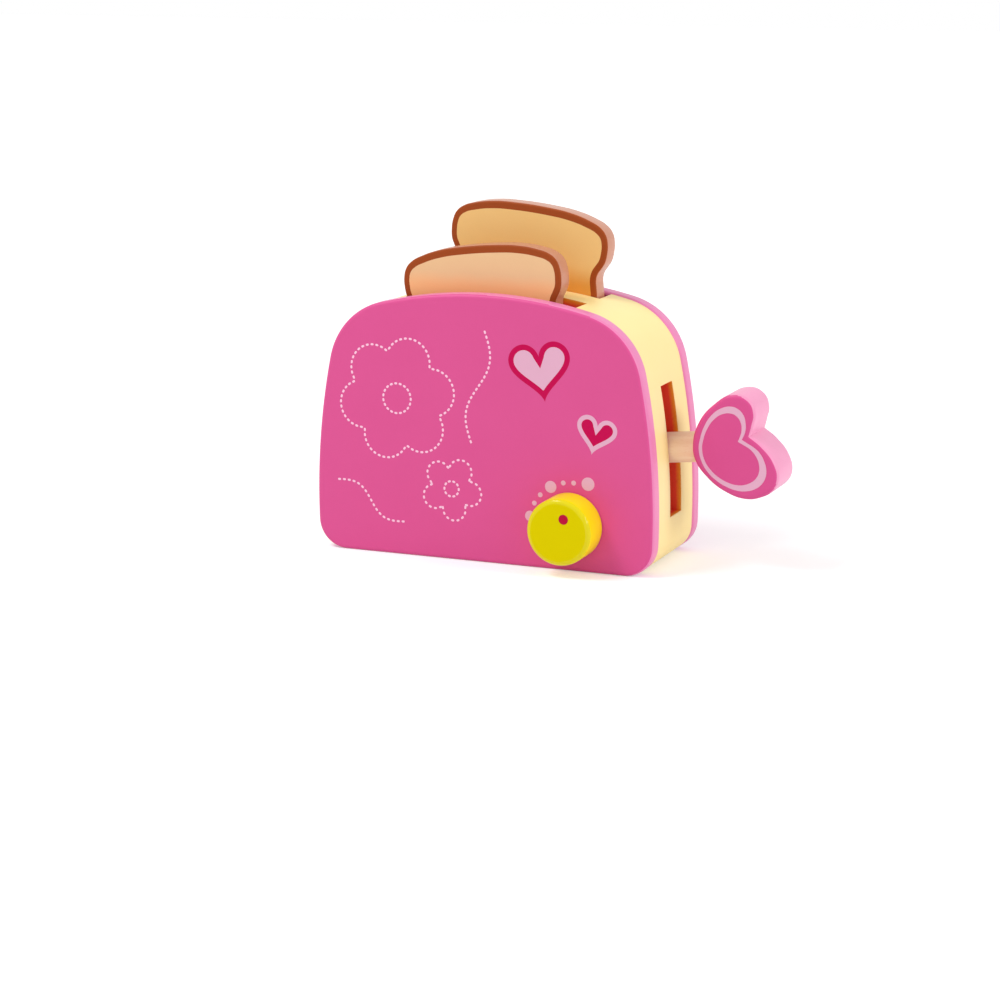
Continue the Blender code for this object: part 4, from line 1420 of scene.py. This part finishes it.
@dataclass
class Slice:
    """One slice of toast: a printed bread face, a dark crust band and a paler rind, whose pale tone is
    partly painted reflection.
    """

    paints: Paints
    body: Body
    node: str
    tilt: float
    half_outline_shares: tuple[Point, ...] = (
        (0.115, 0.999), (0.247, 0.988), (0.367, 0.960), (0.438, 0.930), (0.479, 0.890), (0.497, 0.838),
        (0.500, 0.782), (0.491, 0.722), (0.473, 0.686), (0.455, 0.653), (0.449, 0.616), (0.456, 0.573),
        (0.466, 0.520), (0.474, 0.400), (0.478, 0.180), (0.462, 0.060), (0.400, 0.006), (0.200, 0.000),
    )
    width: float = 89.0 * MM
    height: float = 88.0 * MM
    ear_height: float = 68.0 * MM
    edge_round: float = 1.1 * MM
    round_steps: int = 6
    crust_steps: int = 4
    crust_width: float = 3.4 * MM
    top_crust: float = 0.7 * MM
    top_fall: float = 14.0 * MM

    def outline(self) -> list[Point]:
        """Return the dense bread outline, counter-clockwise, tilted and at its place in the frame."""
        right = [(x * self.width, z * self.height - self.ear_height) for x, z in self.half_outline_shares]
        whole = right + [(-x, z) for x, z in reversed(right)]
        dense = list(reversed(smooth_closed(whole)))
        tilted = [(x * cos(self.tilt) - z * sin(self.tilt), x * sin(self.tilt) + z * cos(self.tilt))
                  for x, z in dense]
        return fitted(tilted, self.node)

    def crust_line(self, outline: Sequence[Point], moved_in: float) -> list[Point]:
        """Return the line where the crust print ends, a little lower under the slice's top.

        Args:
            outline: The slice's outline.
            moved_in: The width of the crust on its sides.

        Returns:
            The line's points, one for each point of the outline.
        """
        up = Vector((-sin(self.tilt), cos(self.tilt)))
        rises = [up.dot(Vector(point)) for point in outline]
        top = max(rises)
        line = []
        for point, rise in zip(inset(outline, moved_in), rises):
            share = max(0.0, 1 - (top - rise) / self.top_fall)
            lowered = Vector(point) - up * self.top_crust * share
            line.append((lowered.x, lowered.y))
        return line

    def build(self) -> None:
        """Build the slice and put it on its body."""
        low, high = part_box(self.node)
        outline = self.outline()
        bread, crust, rind = 0, 1, 2
        rounds = fillet_rings(self.edge_round, self.round_steps)
        rest = self.edge_round * 1.3
        loft = Loft()
        loft.ring(self.crust_line(outline, self.crust_width + self.edge_round), low.y, bread)
        loft.ring(self.crust_line(outline, self.crust_width), low.y, bread)
        loft.ring(inset(outline, rest), low.y, crust)
        for number, (moved_in, depth) in enumerate(rounds):
            tone = crust if number <= self.crust_steps else rind
            loft.ring(inset(outline, moved_in), low.y + depth, tone, 1 - moved_in / self.edge_round)
        for number, (moved_in, depth) in enumerate(reversed(rounds)):
            tone = rind if number <= self.round_steps - self.crust_steps else crust
            loft.ring(inset(outline, moved_in), high.y - depth, tone, 1 - moved_in / self.edge_round)
        loft.ring(inset(outline, rest), high.y, crust)
        loft.ring(self.crust_line(outline, self.crust_width), high.y, crust)
        loft.ring(self.crust_line(outline, self.crust_width + self.edge_round), high.y, bread)
        materials = (self.paints.bread[self.body], self.paints.crust, self.paints.rind)
        piece = loft.build(self.node + "_slice", materials, bread)
        mount(piece, self.body, Slot.TOAST, self.node)


@dataclass
class Lever:
    """The beech see-saw dowel and its heart handle, drawn in the lever's own frame."""

    paints: Paints
    pivot_x: float = 56.0 * MM
    pivot_z: float = 58.07 * MM
    tilt: float = radians(5.9)
    dowel_radius: float = 8.0 * MM
    inner_end: float = -65.0 * MM
    outer_end: float = 63.0 * MM
    end_round: float = 1.0 * MM
    clearance: float = 0.3 * MM
    pin_radius: float = 2.5 * MM
    heart_start: float = 51.3 * MM
    heart_length: float = 44.7 * MM
    heart_span: float = 54.4 * MM
    edge_round: float = 2.2 * MM
    round_steps: int = 8
    lap: PaintLap = PaintLap((0.9, 0.44), widest=radians(72), narrowest=radians(34), turn=0.8)
    bore_height_share: float = 0.476
    proud: float = 0.05 * MM
    outline_shares: tuple[Point, ...] = (
        (0.000, 0.517), (0.086, 0.729), (0.283, 0.903), (0.550, 1.000), (0.731, 0.938), (0.785, 0.806),
        (0.751, 0.697), (0.710, 0.603), (0.841, 0.506), (0.975, 0.341), (1.000, 0.180), (0.923, 0.076),
        (0.756, 0.010), (0.584, 0.000), (0.354, 0.072), (0.144, 0.217), (0.017, 0.385),
    )
    stripe_outer_shares: tuple[Point, ...] = (
        (0.083, 0.496), (0.113, 0.602), (0.171, 0.709), (0.270, 0.813), (0.382, 0.872), (0.510, 0.889),
        (0.591, 0.862), (0.648, 0.806), (0.667, 0.723), (0.653, 0.643), (0.606, 0.571), (0.665, 0.539),
        (0.761, 0.482), (0.813, 0.432), (0.849, 0.366), (0.868, 0.287), (0.850, 0.206), (0.793, 0.140),
        (0.709, 0.098), (0.612, 0.082), (0.517, 0.087), (0.394, 0.122), (0.264, 0.191), (0.170, 0.272),
        (0.109, 0.366),
    )
    stripe_inner_shares: tuple[Point, ...] = (
        (0.124, 0.495), (0.150, 0.590), (0.204, 0.684), (0.295, 0.772), (0.392, 0.818), (0.503, 0.823),
        (0.569, 0.794), (0.609, 0.736), (0.612, 0.658), (0.590, 0.605), (0.557, 0.555), (0.614, 0.526),
        (0.691, 0.483), (0.733, 0.445), (0.769, 0.392), (0.788, 0.327), (0.779, 0.259), (0.737, 0.200),
        (0.670, 0.162), (0.591, 0.142), (0.511, 0.141), (0.403, 0.167), (0.287, 0.225), (0.203, 0.296),
        (0.146, 0.378),
    )
    handle_notch: int = 7
    stripe_notch: int = 10

    def place(self) -> Matrix:
        """Return the lever's place in the frame, its own X along the dowel."""
        return Matrix.Translation((self.pivot_x, 0, self.pivot_z)) @ Matrix.Rotation(-self.tilt, 4, "Y")

    def heart_curve(self, shares: Sequence[Point], notch: int) -> list[Point]:
        """Return a dense heart outline in the frame, counter-clockwise, from its shares."""
        knots = [(self.heart_start + x * self.heart_length, (z - self.bore_height_share) * self.heart_span)
                 for x, z in shares]
        dense = list(reversed(smooth_closed(knots, (notch,), 14)))
        return [(self.pivot_x + x * cos(self.tilt) - z * sin(self.tilt),
                 self.pivot_z + x * sin(self.tilt) + z * cos(self.tilt)) for x, z in dense]

    def heart(self) -> bpy.types.Object:
        """Return the handle, pink on its faces and paler on its edge, bored for the dowel."""
        low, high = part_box("heart_handle")
        outline = fitted(self.heart_curve(self.outline_shares, self.handle_notch), "heart_handle")
        face, edge = 0, 1
        rounds = fillet_rings(self.edge_round, self.round_steps)
        loft = Loft()
        loft.ring(inset(outline, self.edge_round * 1.3), low.y, face)
        loft.ring(inset(outline, self.edge_round), low.y, face)
        for moved_in, depth in rounds[1:]:
            loft.ring(inset(outline, moved_in), low.y + depth, edge, 1 - moved_in / self.edge_round * 0.5)
        loft.ring(outline, high.y - rounds[-1][1], edge, 1.0)
        for moved_in, depth in reversed(rounds[:-1]):
            loft.ring(inset(outline, moved_in), high.y - depth, edge, 1 - moved_in / self.edge_round * 0.5)
        loft.ring(inset(outline, self.edge_round * 1.3), high.y, face)
        heart = loft.build("heart_handle_painted", (self.paints.heart, self.paints.heart_edge), face)
        self.lap.paint(heart, (-1, 1))
        place = self.place()
        seat = rod_cutter("seat", self.dowel_radius + self.clearance,
                          place @ Vector((self.heart_start - self.end_round * 4, 0, 0)),
                          place @ Vector((self.outer_end + self.clearance, 0, 0)))
        return take_out(heart, [seat])

    def dowel(self) -> bpy.types.Object:
        """Return the dowel with its softened ends and the hole for the pivot pin."""
        def end(length: float, outwards: float) -> list[Point]:
            """Return one rounded end of the profile."""
            rounds = fillet_rings(self.end_round, 4)
            return [(self.dowel_radius - moved_in, length - outwards * depth) for moved_in, depth in rounds]

        profile = [(0.0, self.inner_end)] + end(self.inner_end, -1)
        profile += list(reversed(end(self.outer_end, 1))) + [(0.0, self.outer_end)]
        along_x = self.place() @ Matrix.Rotation(pi / 2, 4, "Y")
        dowel = turned("lever_dowel_turned", profile, along_x, (self.paints.lever_wood,), steps=72)
        reach = self.dowel_radius * 1.5
        hole = rod_cutter("pin_hole", self.pin_radius + self.clearance,
                          (self.pivot_x, -reach, self.pivot_z), (self.pivot_x, reach, self.pivot_z))
        return take_out(dowel, [hole])

    def build(self) -> None:
        """Build the dowel, the heart and the stripes on its two faces, and put them on the lever."""
        mount(self.dowel(), Body.LEVER, Slot.BEECH, "lever_dowel")
        mount(self.heart(), Body.LEVER, Slot.HEART, "heart_handle")
        outer = self.heart_curve(self.stripe_outer_shares, self.stripe_notch)
        inner = self.heart_curve(self.stripe_inner_shares, self.stripe_notch)
        low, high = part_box("heart_handle")
        front = film("heart_stripe_front", [outer, inner], low.y, self.proud, self.paints.pale)
        mount(front, Body.LEVER, Slot.HEART)
        rear = film("heart_stripe_rear", [outer, inner], high.y + self.proud, self.proud, self.paints.pale)
        mount(rear, Body.LEVER, Slot.HEART)


@dataclass
class Lift:
    """The lift block with its round nose and the peg that carries the slices."""

    paints: Paints
    edge_round: float = 0.8 * MM
    block_corner: float = 1.2 * MM
    clearance: float = 0.3 * MM

    def block(self) -> bpy.types.Object:
        """Return the block, softened all round and bored for the peg."""
        low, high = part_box("lift_block")
        peg_low, peg_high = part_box("lift_peg")
        half = (high.x - low.x) / 2
        peg_z = (peg_low.z + peg_high.z) / 2
        outline = arc((0.0, peg_z), half, -pi, 0.0, 36) + [(half, peg_z)]
        corner, shoulder_z = self.block_corner, high.z - self.block_corner
        outline += arc((half - corner, shoulder_z), corner, 0.0, pi / 2, 6) + [(half - corner, high.z)]
        outline += arc((-half + corner, shoulder_z), corner, pi / 2, pi, 6) + [(-half, shoulder_z)]
        loft = Loft()
        rounds = fillet_rings(self.edge_round, 4)
        loft.ring(inset(outline, self.edge_round * 1.4), low.y, 0)
        for moved_in, depth in rounds:
            loft.ring(inset(outline, moved_in), low.y + depth, 0)
        for moved_in, depth in reversed(rounds):
            loft.ring(inset(outline, moved_in), high.y - depth, 0)
        loft.ring(inset(outline, self.edge_round * 1.4), high.y, 0)
        block = loft.build("lift_block_softened", (self.paints.block_wood,))
        radius = (peg_high.z - peg_low.z) / 2 + self.clearance
        hole = rod_cutter("peg_hole", radius, (0, peg_low.y, peg_z), (0, peg_high.y, peg_z))
        return take_out(block, [hole])

    def peg(self) -> bpy.types.Object:
        """Return the peg with its softened ends."""
        low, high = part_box("lift_peg")
        radius = (high.z - low.z) / 2
        rounds = fillet_rings(self.edge_round, 4)
        profile = [(0.0, low.y)] + [(radius - moved_in, low.y + depth) for moved_in, depth in rounds]
        profile += [(radius - moved_in, high.y - depth) for moved_in, depth in reversed(rounds)]
        profile.append((0.0, high.y))
        place = Matrix.Translation((0, 0, (low.z + high.z) / 2)) @ Matrix.Rotation(-pi / 2, 4, "X")
        return turned("lift_peg_turned", profile, place, (self.paints.cross_wood,), steps=48)

    def build(self) -> None:
        """Build the block and the peg and put them on the lift."""
        mount(self.block(), Body.LIFT, Slot.BEECH, "lift_block")
        mount(self.peg(), Body.LIFT, Slot.BEECH, "lift_peg")


@dataclass
class Knob:
    """The turned knob with its marker, and the screw that holds it behind the panel."""

    paints: Paints
    edge_round: float = 2.5 * MM
    rim_steps: int = 7
    back_round: float = 0.5 * MM
    spindle_seat: float = 12.3 * MM
    clearance: float = 0.3 * MM
    marker_size: float = 5.2 * MM
    marker_x: float = 3.0 * MM
    marker_z: float = 7.3 * MM
    marker_proud: float = 0.05 * MM
    screw_head_height: float = 2.5 * MM
    screw_shank_radius: float = 2.0 * MM
    cross_width: float = 1.0 * MM
    cross_depth: float = 1.4 * MM
    cross_corner: float = 0.1 * MM

    def __post_init__(self) -> None:
        """Read the knob's axis and sizes from the frame."""
        low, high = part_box("knob")
        self.x, self.z = (low.x + high.x) / 2, (low.z + high.z) / 2
        self.radius, self.back_y = (high.x - low.x) / 2, high.y
        self.length = high.y - low.y - self.marker_proud
        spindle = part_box("knob_spindle")
        self.bore = (spindle[1].x - spindle[0].x) / 2 + self.clearance

    def axis(self) -> Matrix:
        """Return the knob's place, its local Z pointing out of the panel."""
        return Matrix.Translation((self.x, self.back_y, self.z)) @ FACING_FRONT

    def knob(self) -> bpy.types.Object:
        """Return the knob, its face a little greener than its side, partly as painted shade on the face and
        painted light on the side.
        """
        face, rim, side = 0, 1, 2
        front = fillet_rings(self.edge_round, 9)
        back = fillet_rings(self.back_round, 3)
        profile = [(0.0, self.length), (self.radius - self.edge_round * 1.3, self.length)]
        tones = [face, face]
        profile += [(self.radius - moved_in, self.length - depth) for moved_in, depth in front]
        tones += [rim if number < self.rim_steps else side for number in range(len(front) - 1)] + [side]
        profile += [(self.radius - moved_in, depth) for moved_in, depth in reversed(back)]
        tones += [side] * len(back)
        profile += [(self.bore, 0.0), (self.bore, self.spindle_seat), (0.0, self.spindle_seat)]
        tones += [side] * 2
        materials = (self.paints.knob_face_painted_shade, self.paints.knob_rim, self.paints.knob_side_painted_light)
        return turned("knob_turned", profile, self.axis(), materials, tones, steps=128)

    def screw(self) -> bpy.types.Object:
        """Return the screw with a domed head and its cross recess."""
        low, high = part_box("knob_screw")
        head_radius = (high.x - low.x) / 2
        head_height, shank = self.screw_head_height, self.screw_shank_radius
        head_y = high.y - head_height
        length = head_y - low.y
        tip = shank * 1.5
        profile = [(0.0, -length), (shank * 0.3, -length + tip * 0.15), (shank, -length + tip),
                   (shank, 0.0), (head_radius, 0.0)]
        dome = arc((0.0, 0.0), 1.0, 0.0, pi / 2, 8)[1:]
        profile += [(head_radius * x, head_height * z) for x, z in dome] + [(0.0, head_height)]
        place = Matrix.Translation((self.x, head_y, self.z)) @ Matrix.Rotation(-pi / 2, 4, "X")
        screw = turned("knob_screw_turned", profile, place, (self.paints.steel,), steps=48)
        half, arm = self.cross_width / 2, head_radius * 0.55
        deep, out = high.y - self.cross_depth, high.y + self.cross_depth
        cutters = [
            block_cutter("cross_wide", (self.x - arm, deep, self.z - half),
                         (self.x + arm, out, self.z + half), self.cross_corner),
            block_cutter("cross_high", (self.x - half, deep, self.z - arm),
                         (self.x + half, out, self.z + arm), self.cross_corner),
        ]
        return take_out(screw, cutters)

    def build(self) -> None:
        """Build the knob, its marker and its screw, and put them on the dial."""
        mount(self.knob(), Body.DIAL, Slot.KNOB, "knob")
        centre = (self.x + self.marker_x, self.z + self.marker_z)
        circle = arc(centre, self.marker_size / 2, 0.0, 2 * pi, 40)
        face_y = self.back_y - self.length
        marker = film("knob_marker", [circle], face_y, self.marker_proud, self.paints.marker)
        mount(marker, Body.DIAL, Slot.KNOB)
        mount(self.screw(), Body.DIAL, Slot.STEEL, "knob_screw")


@dataclass
class HiddenPieces:
    """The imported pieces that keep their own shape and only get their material."""

    paints: Paints
    nodes: dict[str, bpy.types.Object]

    def build(self) -> None:
        """Give each kept piece its material."""
        wood = [f"locating_dowel_{number}" for number in range(1, 5)] + ["knob_spindle"]
        steel = ["pivot_pin", "knob_washer"]
        for names, material in ((wood, self.paints.cross_wood), (steel, self.paints.steel)):
            for name in names:
                mesh = self.nodes[name].data
                mesh.materials.clear()
                mesh.materials.append(material)
                LOG.info("%s: kept, with %s", name, material.name)


@dataclass(frozen=True)
class SoftBox:
    """A soft rectangular lamp."""

    name: str
    place: tuple[float, float, float]
    width: float
    depth: float
    watts: float

    def hang(self, target: Vector) -> None:
        """Hang the lamp so that it looks at a target."""
        data = bpy.data.lights.new(self.name, "AREA")
        data.shape = "RECTANGLE"
        data.size = self.width
        data.size_y = self.depth
        data.energy = self.watts
        lamp = bpy.data.objects.new(self.name, data)
        bpy.context.scene.collection.objects.link(lamp)
        lamp.location = self.place
        lamp.rotation_euler = (target - Vector(self.place)).to_track_quat("-Z", "Y").to_euler()


@dataclass
class Studio:
    """The pale floor, the soft lamps and the camera."""

    lamps: tuple[SoftBox, ...] = (
        SoftBox("key", (-0.60, -0.60, 1.30), 0.7, 0.3, 10.2),
        SoftBox("side", (1.4, -0.1, 0.65), 0.45, 0.45, 7.2),
    )
    lamp_target: tuple[float, float, float] = (0.0, 0.0, 80 * MM)
    camera_place: tuple[float, float, float] = (0.52384, -1.27835, 0.33539)
    camera_pitch: float = radians(77.37)
    camera_turn: float = radians(22.47)
    lens: float = 95.35
    world_strength: float = 0.64
    floor_reach: float = 6.0
    floor_colour: Colour = (0.86, 0.86, 0.865)
    near_glow: float = 0.28
    far_glow: float = 0.50
    near_distance: float = 0.12
    far_distance: float = 1.4

    def seen_directly(self, sheet: NodeSheet) -> bpy.types.NodeSocket:
        """Return 1 for rays from the camera, a gloss or a glass, and 0 for those that light the toy."""
        path = sheet.add("ShaderNodeLightPath").outputs
        seen = sheet.math("MAXIMUM", path["Is Camera Ray"], path["Is Glossy Ray"])
        return sheet.math("MAXIMUM", seen, path["Is Transmission Ray"])

    def floor(self) -> None:
        """Lay the white floor, which keeps the toy's shadow."""
        work = bmesh.new()
        bmesh.ops.create_grid(work, x_segments=1, y_segments=1, size=self.floor_reach)
        material = bpy.data.materials.new("floor")
        floor = piece_from(work, "floor", (material,))
        material.use_nodes = True
        sheet = NodeSheet(material.node_tree)
        shader = material.node_tree.nodes["Principled BSDF"]
        shader.inputs["Base Color"].default_value = (*self.floor_colour, 1)
        shader.inputs["Roughness"].default_value = 0.9
        seen = self.seen_directly(sheet)
        place = sheet.add("ShaderNodeTexCoord").outputs["Object"]
        away = sheet.add("ShaderNodeVectorMath", {0: place}, operation="LENGTH").outputs["Value"]
        lift = sheet.add("ShaderNodeMapRange", {0: away, 1: self.near_distance, 2: self.far_distance,
                                                3: self.near_glow, 4: self.far_glow})
        strength = sheet.math("MULTIPLY", seen, lift.outputs[0])
        glow = sheet.add("ShaderNodeEmission", {"Color": (1, 1, 1, 1), "Strength": strength})
        both = sheet.add("ShaderNodeAddShader", {0: shader.outputs[0], 1: glow.outputs[0]})
        sheet.tree.links.new(both.outputs[0], material.node_tree.nodes["Material Output"].inputs["Surface"])

    def world(self) -> None:
        """Light the toy from all round, with a white view behind it."""
        world = bpy.data.worlds.new("studio")
        bpy.context.scene.world = world
        world.use_nodes = True
        sheet = NodeSheet(world.node_tree)
        back = world.node_tree.nodes["Background"]
        seen = self.seen_directly(sheet)
        rest = sheet.math("MULTIPLY", sheet.math("SUBTRACT", 1.0, seen), self.world_strength)
        sheet.tree.links.new(sheet.math("ADD", seen, rest), back.inputs["Strength"])
        back.inputs["Color"].default_value = (1, 1, 1, 1)

    def build(self) -> None:
        """Set up floor, world, lamps and camera."""
        self.floor()
        self.world()
        for lamp in self.lamps:
            lamp.hang(Vector(self.lamp_target))
        data = bpy.data.cameras.new("photo_view")
        data.sensor_width = 36.0
        data.lens = self.lens
        data.clip_start, data.clip_end = 0.05, 50.0
        camera = bpy.data.objects.new("photo_view", data)
        bpy.context.scene.collection.objects.link(camera)
        camera.location = self.camera_place
        camera.rotation_euler = (self.camera_pitch, 0, self.camera_turn)
        bpy.context.scene.camera = camera
        bpy.context.scene.view_settings.view_transform = "Standard"


def main() -> None:
    """Build the toy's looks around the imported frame."""
    logging.basicConfig(level=logging.INFO, format="%(name)s: %(message)s")
    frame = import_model()
    paints = Paints(SharedEffects())
    sub_assemblies: list[Callable[[], None]] = [
        Housing(paints).build,
        FrontPrint(paints).build,
        Slice(paints, Body.FRONT_SLICE, "toast_front", radians(5.8)).build,
        Slice(paints, Body.REAR_SLICE, "toast_rear", radians(-6.1)).build,
        Lever(paints).build,
        Lift(paints).build,
        Knob(paints).build,
        HiddenPieces(paints, frame["nodes"]).build,
        Studio().build,
    ]
    for build in sub_assemblies:
        build()


if __name__ == "__main__":
    main()
